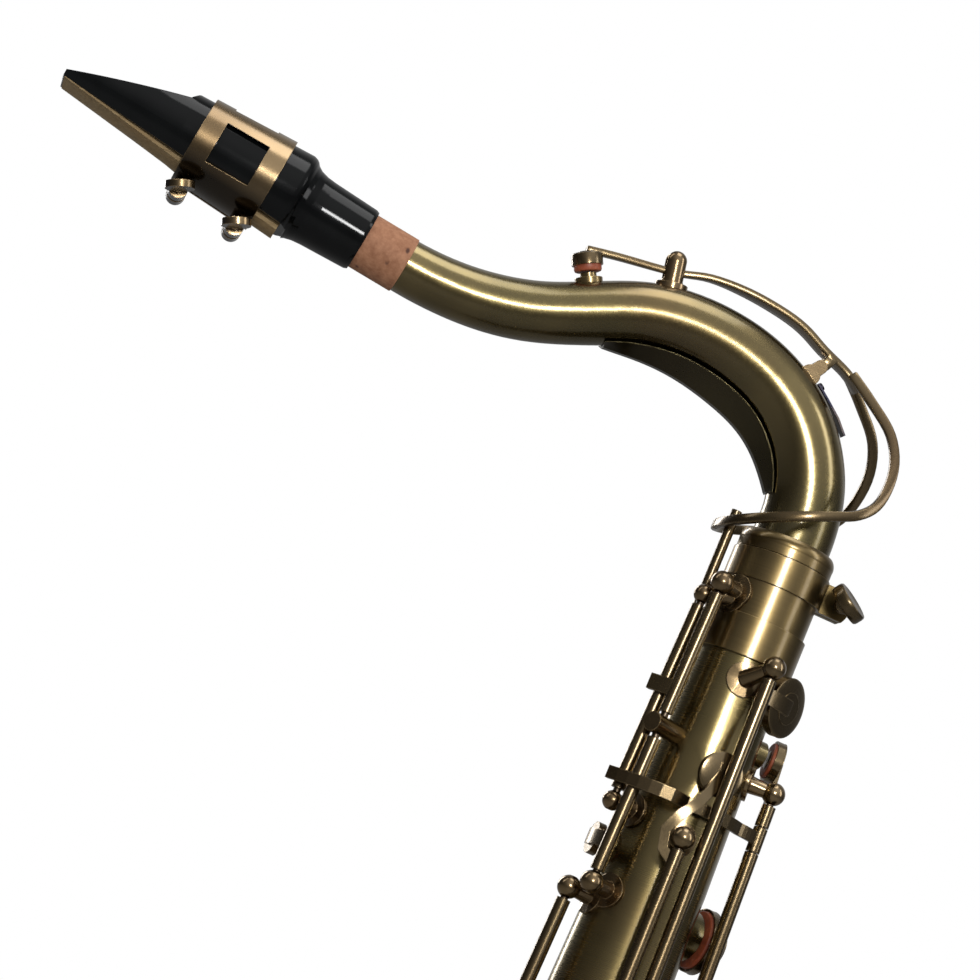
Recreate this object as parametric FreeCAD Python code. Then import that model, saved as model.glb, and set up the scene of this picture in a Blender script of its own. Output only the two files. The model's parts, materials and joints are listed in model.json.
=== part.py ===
import FreeCAD, Part
import math
import os

# Tenor saxophone. Every length is in millimetres. The model is worked out in a frame on the
# axis of the body tube: X points to the front, where the bell is, Y to the player's left and Z up
# the tube, with zero at the top of the neck clamp. It is moved at the end so that the centre of
# the strap ring's hole is the origin.

Vector = FreeCAD.Vector
ORIGIN = Vector(0, 0, 0)
ACROSS = Vector(0, 1, 0)
UP = Vector(0, 0, 1)

# Body tube, bow and bell
tube_length = 575.0
tube_top_radius = 14.4
tube_bottom_radius = 31.5
tube_wall = 1.2
bell_distance = 125.0
bow_end_radius = 38.0
bell_length = 335.0
bell_mouth_radius = 76.0
bell_rim_radius = 2.0
ferrule_width = 13.0
ferrule_wall = 1.6
bow_steps = 12

# Brace between tube and bell
brace_place_share = 0.651
brace_foot_height = 1.6
brace_foot_radius = 4.4

# Neck receiver, seen from the top down: clamp ring, plain tube, lower ring
clamp_radius = 16.1
clamp_height = 9.6
receiver_radius = 15.2
lower_ring_radius = 16.2
lower_ring_top = 21.0
lower_ring_height = 12.5
receiver_wall = 1.4
clamp_slot = 1.6
clamp_lug_reach = 9.0
clamp_lug_root_share = 0.5
clamp_lug_width = 7.0
clamp_screw_share = 0.6
clamp_screw_half_share = 0.9
clamp_screw_radius = 1.6
clamp_head_radius = 6.6
clamp_head_sink_share = 0.95
clamp_head_thickness = 2.4
clamp_head_turn = 28.0

# Neck
neck_rise = 11.8
first_bend_radius = 43.9
first_bend_turn = 68.0
second_bend_radius = 66.5
second_bend_turn = 50.8
last_bend_radius = 103.3
cork_heading = 173.5
cork_run = 33.0
cork_steps = 4
neck_base_radius = 12.9
neck_end_radius = 8.0
neck_wall = 1.0
tenon_length = 20.6
tenon_clearance = 0.02
collar_height = 6.4
collar_radius = 15.6
collar_straight_share = 0.45
collar_bulge_height_share = 0.8
collar_bulge_share = 0.985
collar_top_share = 0.93
cork_length = 32.5
cork_thickness = 1.2
cork_clearance = 0.02

# Vent of the neck, brace under the neck
pip_share = 0.571
pip_radius = 2.6
pip_bore_radius = 1.2
pip_height = 2.6
pip_base_radius = 4.4
pip_base_height = 1.0
brace_start_share = 0.10
brace_end_share = 0.56
brace_width = 11.0
brace_depth = 9.0
brace_depth_shares = (0.0, 0.32, 0.50, 0.62, 0.66, 0.62, 0.50, 0.32, 0.0)
brace_flange = 0.9
brace_bead_radius = 1.5

# Mouthpiece
mouthpiece_length = 104.5
shank_radius = 10.4
barrel_radius = 14.8
barrel_start = 26.0
barrel_front = 65.3
barrel_front_radius = 12.9
beak_step = 2.4
beak_step_drop_share = 0.69
beak_tip_radius = 9.8
tip_height = 1.9
tip_rail = 1.2
table_heel_drop = 11.0
table_tip_drop = 5.5
table_start = 22.5
window_width = 11.5
window_length = 45.0
mouthpiece_bore_radius = 6.6
chamber_length = 46.0
chamber_share = 0.8
baffle_share = 1.2
mouthpiece_seat_depth = 17.5
mouthpiece_seat_spare = 2.4
shank_open_end = -mouthpiece_seat_depth

# Reed. A row of its stations holds the share of its length, width and heel thickness
reed_length = 79.5
reed_width = 17.0
reed_heel_thickness = 3.2
reed_edge_share = 0.55
reed_inset = 0.6
reed_station_shares = ((0.0, 0.82, 1.0), (0.45, 0.90, 1.0), (0.5, 0.91, 0.85), (1.0, 0.963, 0.156))

# Ligature and its screws
ligature_start = 32.8
ligature_width = 27.8
ligature_thickness = 1.0
ligature_clearance = 0.3
ligature_border_share = 0.235
ligature_window_share = 0.92
ligature_window_turns = (0.0, 90.0, 270.0)
ligature_slot = 2.0
ligature_screw_radius = 1.5
ligature_screw_spacing = 20.5
ligature_lug_radius = 3.0
ligature_lug_reach = 6.0
ligature_lug_lift_share = 0.8
paddle_radius = 4.6
paddle_thickness = 2.2
paddle_sink_share = 0.7
paddle_neck = 1.6
paddle_turn = 62.0

# Rods, hinge tubes and posts
rod_radius = 1.25
rod_clearance = 0.05
hinge_radius = 2.25
hinge_height = 8.6
end_gap = 0.3
post_offset_share = 0.0070
post_ball_radius = 3.7
small_ball_share = 0.86
post_stem_radius = 2.1
post_stem_spread = 1.4
post_base_radius = 5.6
post_base_thickness = 1.1
stop_post_share = 0.111

# Tone holes, cups and arms
chimney_height = 2.6
chimney_wall = 1.1
chimney_depth_share = 0.5
pad_gap = 0.3
pad_thickness = 2.0
pad_clearance = 0.05
cup_thickness = 1.6
cup_crown = 0.9
cup_wall = 0.8
cup_lip_share = 0.45
crown_share = 0.55
slim_share = 0.6
arm_width = 5.0
arm_thickness = 1.9
arm_sink_share = 0.3
arm_steps = 6
arm_start_share = 0.003
routed_arm_share = 0.65
paddle_width_share = 0.026
paddle_rise = 7.5
pearl_radius = 6.6
pearl_thickness = 1.4
pearl_rise = 2.6

# Springs
spring_radius = 0.35
spring_length = 26.0
spring_height_share = 0.66
spring_strip = 0.6
spring_strip_width = 4.2

# Octave key of the neck
octave_pivot_share = 0.2592
octave_pivot_height = 3.4
octave_web_share = 2.6
octave_bar_width = 7.6
octave_bar_thickness = 2.2
octave_pad_radius = 4.4
octave_pad_thickness = 3.0
octave_neck_cup_radius = 5.0
octave_neck_cup_height = 3.6
octave_neck_lip_share = 0.25
octave_guide_share = 0.464
octave_guide_step_share = 0.05
octave_guide_radius = 3.5
octave_guide_base_share = 1.5
octave_guide_height = 8.6
octave_guide_slot = 3.0
octave_guide_slot_low = 2.2
saddle_cheek = 1.6
saddle_gap = 0.15
saddle_foot_share = 1.5
loop_radius = 24.2
loop_band_width = 3.2
loop_band_thickness = 2.2
loop_low = 3.6
loop_slope = 0.44
loop_turns = (82.0, 100.0, 120.0, 140.0, 160.0, 180.0)
loop_arm_height = 11.6

# Octave mechanism on the back of the tube. A row holds the angle, the top and the bottom share
octave_rocker_shares = (142.5, 0.0335, 0.1035)
octave_pin_shares = (157.0, 0.0420, 0.1500)
body_octave_shares = (142.5, 0.1185, 0.1950)
thumb_lever_shares = (163.0, 0.2150, 0.3800)
rocker_lever_share = 0.090
rocker_lever_lap = 3.0
pin_angle = 170.0
pin_reach = 20.8
pin_radius = 1.7
pin_top = 9.2
pin_bottom = 30.0
octave_cup_angle = 175.0
octave_cup_share = 0.178
octave_cup_radius = 5.2
back_angle = 180.0
thumb_touch_share = 0.366
thumb_touch_angle = 190.0
thumb_rest_share = 0.418
thumb_rest_height = 4.0
thumb_disc_radius = 11.0
thumb_stem_share = 0.6

# Link from the upper stack to the octave mechanism, bent round the tube
link_shares = (12.0, 0.1376, 0.1514)
link_place_share = 0.1440
link_angle = 158.0
link_near_turns = (34.0, 46.0)
link_far_turns = (100.0, 112.0)
link_height = 3.4
link_width_share = 0.8
link_thickness = 1.5

# Low keys on the bow and the bell
low_c_turn = 238.0
low_c_radius = 23.0
low_c_hinge_shares = (104.0, 0.9206, 0.9650)
low_c_arm_share = 0.955
low_c_elbow_angle = 86.0
low_c_elbow_share = 0.963
low_c_touch_share = 0.934
low_c_touch_turns = (0.0, 20.0, 38.0)
low_c_touch_rises = (0.0, 0.6, 1.0)
low_c_open_degrees = -9.0
bell_hinge_angle = 152.0
bell_hinge_half_share = 0.065
bell_hinge_height = 10.0
bell_arm_share = 1.3
bell_open_degrees = {"low_b_key": 9.0, "low_b_flat_key": 9.0}

# Left hand table
table_angle = -128.0
table_touch_angle = -94.0
table_rise = 8.0
table_touch_share = 1.4

# Thumb hook and strap ring
thumb_hook_share = 0.63
thumb_hook_height = 20.0
thumb_hook_width = 13.0
thumb_hook_curl = 9.0
thumb_hook_plate_share = 0.8
thumb_hook_thickness = 2.5
strap_hole_radius = 8.0
strap_ring_width = 4.2
strap_ring_thickness = 4.0
strap_ring_place_share = 0.50
strap_foot_share = 1.3

# Guards over the open cups of the bell
guard_wire_radius = 1.8
guard_rise = 20.0
guard_margin = 7.5
guard_shoulder_share = 0.78
guard_lean = 2.0
guard_felt_sink_share = 0.6
felt_radius = 5.0
felt_thickness = 3.0

os.makedirs("parts", exist_ok=True)


def tube_radius(z):
    """Outer radius of the body tube at a height, which is below zero on the tube."""
    share = (-z - lower_ring_top) / (tube_length - lower_ring_top)
    return tube_top_radius + share * (tube_bottom_radius - tube_top_radius)


def on_tube(angle, height, z):
    """Point at a height above the tube. The angle runs from the front to the player's right."""
    turn = math.radians(angle)
    reach = tube_radius(z) + height
    return Vector(reach * math.cos(turn), -reach * math.sin(turn), z)


def outward(angle):
    turn = math.radians(angle)
    return Vector(math.cos(turn), -math.sin(turn), 0)


def cylinder(start, end, radius):
    run = end - start
    return Part.makeCylinder(radius, run.Length, start, run)


def fused(shapes):
    if len(shapes) == 1:
        return shapes[0]
    return shapes[0].multiFuse(shapes[1:]).removeSplitter()


def revolved(points, centre=ORIGIN, axis=UP):
    """Solid of revolution from an outline in the XZ plane."""
    wire = Part.makePolygon(points + [points[0]])
    return Part.Face(wire).revolve(centre, axis, 360.0)


def outside_out(solid):
    """The same solid with its faces looking outwards."""
    if solid.Volume < 0:
        solid.reverse()
    return solid


def path_loft(stations):
    """Loft through circles. A station is a point, a heading in the XZ plane and a radius."""
    rings = []
    for point, heading, radius in stations:
        ring = Part.makeCircle(radius)
        ring.rotate(ORIGIN, ACROSS, 90.0 - heading)
        ring.translate(point)
        rings.append(Part.Wire(ring))
    return outside_out(Part.makeLoft(rings, True))


def ribbon(points, width, thickness, normals):
    """Flat bar through points, with its own face normal at each of them."""
    sections = []
    last = len(points) - 1
    for index, point in enumerate(points):
        tangent = points[min(index + 1, last)] - points[max(index - 1, 0)]
        side = tangent.cross(normals[index])
        side.normalize()
        face = side.cross(tangent)
        face.normalize()
        half_wide = side * (width / 2)
        half_thick = face * (thickness / 2)
        corners = [point - half_wide - half_thick, point + half_wide - half_thick,
                   point + half_wide + half_thick, point - half_wide + half_thick]
        sections.append(Part.makePolygon(corners + [corners[0]]))
    return outside_out(Part.makeLoft(sections, True, True))


# Neck path

def neck_path():
    """Stations along the neck's centre line, as point and heading, with the length run so far."""
    stations = [(ORIGIN, 90.0, 0.0)]
    spot = Vector(0, 0, neck_rise)
    heading = 90.0
    run = neck_rise
    stations.append((spot / 2, heading, run / 2))
    stations.append((spot, heading, run))
    top_heading = heading + first_bend_turn + second_bend_turn
    bends = ((first_bend_radius, first_bend_turn, 5), (second_bend_radius, second_bend_turn, 4),
             (last_bend_radius, cork_heading - top_heading, 3))
    for radius, turn, steps in bends:
        for _ in range(steps):
            step = math.radians(turn / steps)
            chord = 2 * radius * math.sin(abs(step) / 2)
            middle = math.radians(heading) + step / 2
            spot = spot + Vector(chord * math.cos(middle), 0, chord * math.sin(middle))
            heading += math.degrees(step)
            run += radius * abs(step)
            stations.append((spot, heading, run))
    direction = Vector(math.cos(math.radians(heading)), 0, math.sin(math.radians(heading)))
    for step in range(1, cork_steps + 1):
        part = cork_run * step / cork_steps
        stations.append((spot + direction * part, heading, run + part))
    return stations


NECK = neck_path()
NECK_LENGTH = NECK[-1][2]
CORK_END = NECK[-1][0]
CORK_ALONG = Vector(math.cos(math.radians(cork_heading)), 0, math.sin(math.radians(cork_heading)))
CORK_UPWARD = ACROSS.cross(CORK_ALONG) * -1.0
if CORK_UPWARD.z < 0:
    CORK_UPWARD = CORK_UPWARD * -1.0
CORK_ACROSS = CORK_ALONG.cross(CORK_UPWARD)


def neck_radius(run):
    return neck_base_radius + (neck_end_radius - neck_base_radius) * run / NECK_LENGTH


def neck_at(share):
    """Point, heading and outer radius at a share of the neck's length."""
    wanted = share * NECK_LENGTH
    for before, after in zip(NECK, NECK[1:]):
        if after[2] >= wanted:
            part = (wanted - before[2]) / (after[2] - before[2])
            point = before[0] + (after[0] - before[0]) * part
            return point, before[1] + (after[1] - before[1]) * part, neck_radius(wanted)
    return NECK[-1][0], NECK[-1][1], neck_end_radius


def off_neck(share, height, sideways=0.0):
    """Point above the outer side of the neck's bend, or beside the neck."""
    point, heading, radius = neck_at(share)
    turn = math.radians(heading - 90.0)
    normal = Vector(math.cos(turn), 0, math.sin(turn))
    return point + normal * (radius + height) + ACROSS * sideways


def neck_normal(share):
    heading = neck_at(share)[1]
    turn = math.radians(heading - 90.0)
    return Vector(math.cos(turn), 0, math.sin(turn))


def neck_tube():
    outer = path_loft([(point, heading, neck_radius(run)) for point, heading, run in NECK])
    inner = path_loft([(point, heading, neck_radius(run) - neck_wall)
                       for point, heading, run in NECK])
    tenon = Part.makeCylinder(receiver_radius - receiver_wall - tenon_clearance, tenon_length,
                              Vector(0, 0, -tenon_length))
    tenon_bore = Part.makeCylinder(neck_base_radius - neck_wall, tenon_length,
                                   Vector(0, 0, -tenon_length))
    pip_hole = cylinder(off_neck(pip_share, -2 * neck_wall), off_neck(pip_share, neck_wall),
                        pip_bore_radius)
    return outer.fuse(tenon).cut(inner).cut(tenon_bore).cut(pip_hole)


def neck_pip():
    """Octave vent of the neck, soldered on the top of the tube."""
    foot = off_neck(pip_share, -neck_wall / 2)
    top = off_neck(pip_share, pip_height)
    normal = neck_normal(pip_share)
    base_top = off_neck(pip_share, pip_base_height)
    base = cylinder(base_top - normal * (2 * pip_base_height), base_top, pip_base_radius)
    body = cylinder(foot, top, pip_radius).fuse(base)
    body = body.cut(path_loft([(p, h, neck_radius(r)) for p, h, r in NECK]))
    return body.cut(cylinder(foot, top, pip_bore_radius))


def neck_collar():
    """Convex polished ring at the foot of the neck."""
    inner = neck_base_radius
    low = end_gap
    points = [Vector(inner, 0, low), Vector(collar_radius, 0, low),
              Vector(collar_radius, 0, low + collar_height * collar_straight_share)]
    bulge = Vector(collar_radius * collar_bulge_share, 0,
                   low + collar_height * collar_bulge_height_share)
    top = Vector(collar_radius * collar_top_share, 0, low + collar_height)
    top_inner = Vector(inner, 0, low + collar_height)
    edges = [Part.makeLine(points[0], points[1]), Part.makeLine(points[1], points[2]),
             Part.Arc(points[2], bulge, top).toShape(), Part.makeLine(top, top_inner),
             Part.makeLine(top_inner, points[0])]
    ring = Part.Face(Part.Wire(edges)).revolve(ORIGIN, UP, 360.0)
    return ring.cut(path_loft([(p, h, neck_radius(r)) for p, h, r in NECK]))


def neck_brace():
    """Underslung brace: a flange on the inside of the bend and a deep rib with a bead along it."""
    lower = []
    upper = []
    count = len(brace_depth_shares) - 1
    for index, depth_share in enumerate(brace_depth_shares):
        share = brace_start_share + (brace_end_share - brace_start_share) * index / count
        point, _, radius = neck_at(share)
        inward = neck_normal(share) * -1.0
        lower.append(point + inward * (radius + brace_flange + brace_depth * depth_share))
        upper.append(point + inward * (radius - neck_wall / 2))
    sections = []
    half = ACROSS * (brace_width / 2)
    rib_half = ACROSS * brace_bead_radius
    for low, high in zip(lower, upper):
        corners = [high - half, high + half, low + rib_half, low - rib_half]
        sections.append(Part.makePolygon(corners + [corners[0]]))
    rib = outside_out(Part.makeLoft(sections, True))
    return rib.cut(path_loft([(p, h, neck_radius(r)) for p, h, r in NECK]))


def cork_frame(along, upward=0.0, across=0.0):
    """Point in the frame of the neck's end: along the mouthpiece, to its beak side, across."""
    return CORK_END + CORK_ALONG * along + CORK_UPWARD * upward + ACROSS * across


def neck_cork():
    outer = cylinder(cork_frame(-cork_length), cork_frame(0), neck_end_radius + cork_thickness)
    return outer.cut(path_loft([(p, h, neck_radius(r)) for p, h, r in NECK]))


# Mouthpiece. A row of its shank holds the share of the way to the barrel and of the shank's radius

shank_profile_shares = ((0.0, 0.96), (0.04, 1.0), (0.62, 1.06), (0.74, 1.09), (0.83, 1.15),
                        (0.89, 1.24), (0.92, 1.33), (0.95, 1.385), (1.0, 1.423))


def barrel_at(z):
    """Radius of the barrel, which narrows towards the beak."""
    share = (z - barrel_start) / (barrel_front - barrel_start)
    return barrel_radius + (barrel_front_radius - barrel_radius) * share


def table_x(z):
    """Place of the flat table, which comes nearer to the middle towards the tip."""
    share = (z - table_start) / (mouthpiece_length - table_start)
    return -table_heel_drop + (table_heel_drop - table_tip_drop) * share


def mouthpiece():
    """Round shank and barrel, sloping beak above, flat table with a window below."""
    places = [ORIGIN]
    for share, radius_share in shank_profile_shares:
        places.append(Vector(shank_radius * radius_share, 0, barrel_start * share))
    places += [Vector(barrel_front_radius, 0, barrel_front),
               Vector(beak_tip_radius, 0, mouthpiece_length), Vector(0, 0, mouthpiece_length)]
    body = revolved(places)
    wide = 2 * barrel_radius
    beyond = mouthpiece_length + wide
    # Beak: all that is above the line from the barrel to the tip is cut away
    tip = Vector(table_x(mouthpiece_length) + tip_height, 0, mouthpiece_length)
    step = Vector(barrel_front_radius * beak_step_drop_share, 0, barrel_front + beak_step)
    over = [Vector(wide, -wide, barrel_front), Vector(wide, -wide, beyond),
            Vector(tip.x, -wide, beyond), Vector(tip.x, -wide, tip.z),
            Vector(step.x, -wide, step.z), Vector(barrel_front_radius, -wide, barrel_front)]
    beak_cut = Part.Face(Part.makePolygon(over + [over[0]])).extrude(ACROSS * (2 * wide))
    # Table: flat underside that the reed lies on
    under = [Vector(table_x(table_start), -wide, table_start), Vector(-wide, -wide, table_start),
             Vector(-wide, -wide, beyond), Vector(table_x(beyond), -wide, beyond)]
    table_cut = Part.Face(Part.makePolygon(under + [under[0]])).extrude(ACROSS * (2 * wide))
    bore = Part.makeCylinder(neck_end_radius + cork_thickness + cork_clearance,
                             mouthpiece_seat_depth + mouthpiece_seat_spare)
    deep = Part.makeCylinder(mouthpiece_bore_radius, chamber_length + mouthpiece_seat_depth)
    # Window: open through the table, with the baffle sloping up to the chamber
    half = -window_width / 2
    end = mouthpiece_length - tip_rail
    roof = mouthpiece_bore_radius * chamber_share
    through = [Vector(-wide, half, end - window_length), Vector(-wide, half, end),
               Vector(table_x(end), half, end), Vector(roof, half, chamber_length * baffle_share),
               Vector(roof, half, chamber_length), Vector(-roof, half, chamber_length)]
    window = Part.Face(Part.makePolygon(through + [through[0]])).extrude(ACROSS * window_width)
    piece = body.cut(beak_cut).cut(table_cut).cut(bore).cut(deep).cut(window)
    return place_on_cork(piece)


def place_on_cork(piece):
    """Turn a piece made along Z, with X to its beak side, into place on the cork."""
    frame = FreeCAD.Matrix()
    frame.A11, frame.A21, frame.A31 = CORK_UPWARD.x, CORK_UPWARD.y, CORK_UPWARD.z
    frame.A12, frame.A22, frame.A32 = CORK_ACROSS.x, CORK_ACROSS.y, CORK_ACROSS.z
    frame.A13, frame.A23, frame.A33 = CORK_ALONG.x, CORK_ALONG.y, CORK_ALONG.z
    origin = cork_frame(shank_open_end)
    frame.A14, frame.A24, frame.A34 = origin.x, origin.y, origin.z
    moved = piece.copy()
    moved.Placement = FreeCAD.Placement(frame)
    return moved


def reed():
    """Cane reed: thick round-backed heel, thinned towards the tip."""
    heel = mouthpiece_length - reed_length
    sections = []
    for share, width_share, thick_share in reed_station_shares:
        z = heel + share * (reed_length - reed_inset)
        top = table_x(z)
        half = reed_width * width_share / 2
        thick = reed_heel_thickness * thick_share
        edge = top - thick * reed_edge_share
        near, far = Vector(top, -half, z), Vector(top, half, z)
        low_near, low_far = Vector(edge, -half, z), Vector(edge, half, z)
        bulge = Part.Arc(low_near, Vector(top - thick, 0, z), low_far)
        sections.append(Part.Wire([Part.makeLine(near, low_near), bulge.toShape(),
                                   Part.makeLine(low_far, far), Part.makeLine(far, near)]))
    return place_on_cork(outside_out(Part.makeLoft(sections, True, True)))


def ligature_lug_place(z):
    reach = barrel_at(z) + ligature_clearance + ligature_thickness
    return reach + ligature_lug_radius * ligature_lug_lift_share


def ligature_cone(clearance):
    """The band's outer or inner form, which narrows with the barrel."""
    end = ligature_start + ligature_width
    return Part.makeCone(barrel_at(ligature_start) + clearance, barrel_at(end) + clearance,
                         ligature_width, Vector(0, 0, ligature_start))


def ligature():
    """Metal band round the barrel and the reed, open above and at the sides, lugs below."""
    inner = barrel_radius + ligature_clearance
    core = ligature_cone(ligature_clearance)
    band = ligature_cone(ligature_clearance + ligature_thickness).cut(core)
    border = ligature_width * ligature_border_share
    window = inner * ligature_window_share
    opening = ligature_width - 2 * border
    for turn in ligature_window_turns:
        block = Part.makeBox(2 * inner, window, opening,
                             Vector(0, -window / 2, ligature_start + border))
        block.rotate(ORIGIN, UP, turn)
        band = band.cut(block)
    slot = Part.makeBox(2 * inner, ligature_slot, ligature_width,
                        Vector(-2 * inner, -ligature_slot / 2, ligature_start))
    band = band.cut(slot)
    parts = [band]
    for z in ligature_screw_places():
        place = -ligature_lug_place(z)
        near = Vector(place, -ligature_lug_reach, z)
        far = Vector(place, ligature_lug_reach, z)
        lug = cylinder(near, far, ligature_lug_radius)
        gap = Part.makeBox(4 * ligature_lug_radius, ligature_slot, 4 * ligature_lug_radius,
                           Vector(place - 2 * ligature_lug_radius, -ligature_slot / 2,
                                  z - 2 * ligature_lug_radius))
        hole = cylinder(near, far, ligature_screw_radius + rod_clearance)
        parts.append(lug.cut(gap).cut(hole))
    return place_on_cork(fused(parts).cut(core))


def ligature_screw_places():
    middle = ligature_start + ligature_width / 2
    return (middle + ligature_screw_spacing / 2, middle - ligature_screw_spacing / 2)


def ligature_screw(z):
    """Thumbscrew with a round flat paddle, turned across the lugs on the player's right."""
    place = -ligature_lug_place(z)
    near = -ligature_lug_reach - paddle_neck
    shaft = cylinder(Vector(place, near, z), Vector(place, ligature_lug_reach, z),
                     ligature_screw_radius)
    centre = Vector(place, near - paddle_radius * paddle_sink_share, z)
    paddle = Part.makeCylinder(paddle_radius, paddle_thickness,
                               centre - Vector(0, 0, paddle_thickness / 2), UP)
    paddle.rotate(centre, ACROSS, paddle_turn)
    return place_on_cork(shaft.fuse(paddle))


# Receiver at the top of the body

def neck_clamp():
    """Split clamp ring with a lug for its screw, on the receiver's top."""
    ring = Part.makeCylinder(clamp_radius, clamp_height, Vector(0, 0, -clamp_height))
    root = clamp_lug_reach * clamp_lug_root_share
    lug = Part.makeBox(clamp_lug_reach + root, clamp_lug_width, clamp_height,
                       Vector(clamp_radius - root, -clamp_lug_width / 2, -clamp_height))
    lug = lug.common(cylinder(Vector(clamp_radius, -clamp_lug_width, -clamp_height / 2),
                              Vector(clamp_radius, clamp_lug_width, -clamp_height / 2),
                              clamp_lug_reach))
    ring = ring.fuse(lug)
    ring = ring.cut(Part.makeCylinder(receiver_radius, clamp_height, Vector(0, 0, -clamp_height)))
    slot = Part.makeBox(2 * clamp_radius, clamp_slot, clamp_height,
                        Vector(0, -clamp_slot / 2, -clamp_height))
    hole = cylinder(clamp_screw_end(1), clamp_screw_end(-1), clamp_screw_radius + rod_clearance)
    return ring.cut(slot).cut(hole)


def clamp_screw_end(side):
    x = clamp_radius + clamp_lug_reach * clamp_screw_share
    return Vector(x, side * clamp_lug_width * clamp_screw_half_share, -clamp_height / 2)


def neck_screw():
    """Thumbscrew of the neck clamp, with a thick round paddle."""
    near = clamp_screw_end(-1)
    far = clamp_screw_end(1)
    shaft = cylinder(far, near, clamp_screw_radius)
    centre = near - ACROSS * (clamp_head_radius * clamp_head_sink_share)
    head = Part.makeCylinder(clamp_head_radius, clamp_head_thickness,
                             centre - Vector(clamp_head_thickness / 2, 0, 0), Vector(1, 0, 0))
    head.rotate(centre, ACROSS, clamp_head_turn)
    return fused([shaft, head])


def neck_receiver():
    """Socket that the neck's tenon turns in, down to the lower ring."""
    depth = lower_ring_top + lower_ring_height
    socket = Part.makeCylinder(receiver_radius, depth, Vector(0, 0, -depth))
    bore = Part.makeCylinder(receiver_radius - receiver_wall, depth, Vector(0, 0, -depth))
    below = Part.makeCylinder(2 * receiver_radius, depth, Vector(0, 0, -lower_ring_top - depth))
    return socket.cut(bore).cut(below)


def receiver_ring():
    """Reinforcing ring where the receiver meets the body tube."""
    low = -lower_ring_top - lower_ring_height
    ring = Part.makeCylinder(lower_ring_radius, lower_ring_height, Vector(0, 0, low))
    ring = ring.cut(Part.makeCone(tube_radius(low), tube_radius(-lower_ring_top),
                                  lower_ring_height, Vector(0, 0, low)))
    return ring


def ring_space():
    """Room taken by the receiver and its lower ring."""
    low = -lower_ring_top - lower_ring_height
    ring = Part.makeCylinder(lower_ring_radius, lower_ring_height, Vector(0, 0, low))
    return ring.fuse(Part.makeCylinder(receiver_radius, lower_ring_top, Vector(0, 0, -lower_ring_top)))


# Keys. A row holds the name, the hinge angle, the hinge span and the cup, whose angle is
# measured like the hinge's. Places along the tube and radii are shares of the tube's length.

key_shares = {
    "high_f_sharp_key": (77.0, 0.0670, 0.7000, 45.0, 0.0750, 0.0165),
    "high_e_key": (93.5, 0.1700, 0.6350, 81.0, 0.1230, 0.0122),
    "side_c_key": (108.0, 0.2900, 0.6000, 135.5, 0.3150, 0.0155),
    "small_c_key": (12.0, 0.1250, 0.1370, -14.0, 0.1000, 0.0118),
    "b_key": (12.0, 0.1520, 0.2310, -24.0, 0.2050, 0.0183),
    "bis_key": (12.0, 0.2316, 0.2870, -24.0, 0.2610, 0.0183),
    "a_key": (12.0, 0.2876, 0.3480, -24.0, 0.3190, 0.0190),
    "g_key": (12.0, 0.3486, 0.4110, -24.0, 0.3810, 0.0200),
    "palm_f_key": (-60.0, 0.0730, 0.1080, -93.0, 0.0880, 0.0148),
    "palm_e_flat_key": (-60.0, 0.1086, 0.1630, -93.0, 0.1420, 0.0165),
    "palm_d_key": (-60.0, 0.1636, 0.2190, -93.0, 0.1960, 0.0180),
    "g_sharp_key": (-108.0, 0.4400, 0.5050, -73.0, 0.4720, 0.0225),
    "f_sharp_key": (-36.0, 0.4860, 0.5450, 6.0, 0.5140, 0.0252),
    "f_key": (-36.0, 0.5456, 0.6150, 6.0, 0.5830, 0.0270),
    "e_key": (-36.0, 0.6156, 0.7000, 6.0, 0.6600, 0.0287),
    "d_key": (-36.0, 0.7006, 0.7900, 6.0, 0.7460, 0.0296),
    "f_sharp_trill_key": (45.5, 0.5600, 0.6300, 62.0, 0.5850, 0.0096),
    "side_b_flat_key": (108.0, 0.6010, 0.6900, 137.0, 0.6400, 0.0176),
    "low_e_flat_key": (104.0, 0.8600, 0.9200, 60.0, 0.8900, 0.0313),
}

open_keys_degrees = {"small_c_key": 14.0, "b_key": 9.0, "bis_key": 9.0, "a_key": 9.0,
                     "g_key": 9.0, "f_sharp_key": 9.0, "f_key": 9.0, "e_key": 9.0, "d_key": 9.0}


def along_tube(share):
    return -share * tube_length


def chimney_rise(name):
    """Height of a tone hole's rim above the tube, at the middle of the hole."""
    if name == "high_e_key":
        return chimney_height / 2
    return chimney_height


def cup_stack(name):
    """Heights of the rim, the pad's face, the cup's face and the cup's back above the tube."""
    rim = chimney_rise(name)
    slim = slim_share if name == "high_e_key" else 1.0
    pad_face = rim + pad_gap
    pad_back = pad_face + pad_thickness * slim
    return rim, pad_face, pad_back, pad_back + cup_thickness * slim


def disc(angle, z, low, high, radius):
    """Round slab across the outward direction, between two heights above the tube."""
    return cylinder(on_tube(angle, low, z), on_tube(angle, high, z), radius)


def key_cup(name):
    """Cup with its crown, and the pad in it."""
    _, _, _, cup_angle, cup_share, radius_share = key_shares[name]
    z = along_tube(cup_share)
    radius = radius_share * tube_length
    _, pad_face, pad_back, cup_back = cup_stack(name)
    lip = pad_face + (pad_back - pad_face) * cup_lip_share
    shell = disc(cup_angle, z, lip, cup_back, radius)
    crown = cylinder(on_tube(cup_angle, cup_back, z), on_tube(cup_angle, cup_back + cup_crown, z),
                     radius * crown_share)
    pocket = disc(cup_angle, z, lip, pad_back, radius - cup_wall)
    pad = disc(cup_angle, z, pad_face, pad_back, radius - cup_wall - pad_clearance)
    return shell.cut(pocket), crown, pad


def hinge_tube(angle, top_share, bottom_share):
    """Tube that turns on a hinge rod, bored for it, and its solid form for joining arms."""
    top = on_tube(angle, hinge_height, along_tube(top_share))
    bottom = on_tube(angle, hinge_height, along_tube(bottom_share))
    return cylinder(top, bottom, hinge_radius), cylinder(top, bottom, rod_radius + rod_clearance)


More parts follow.
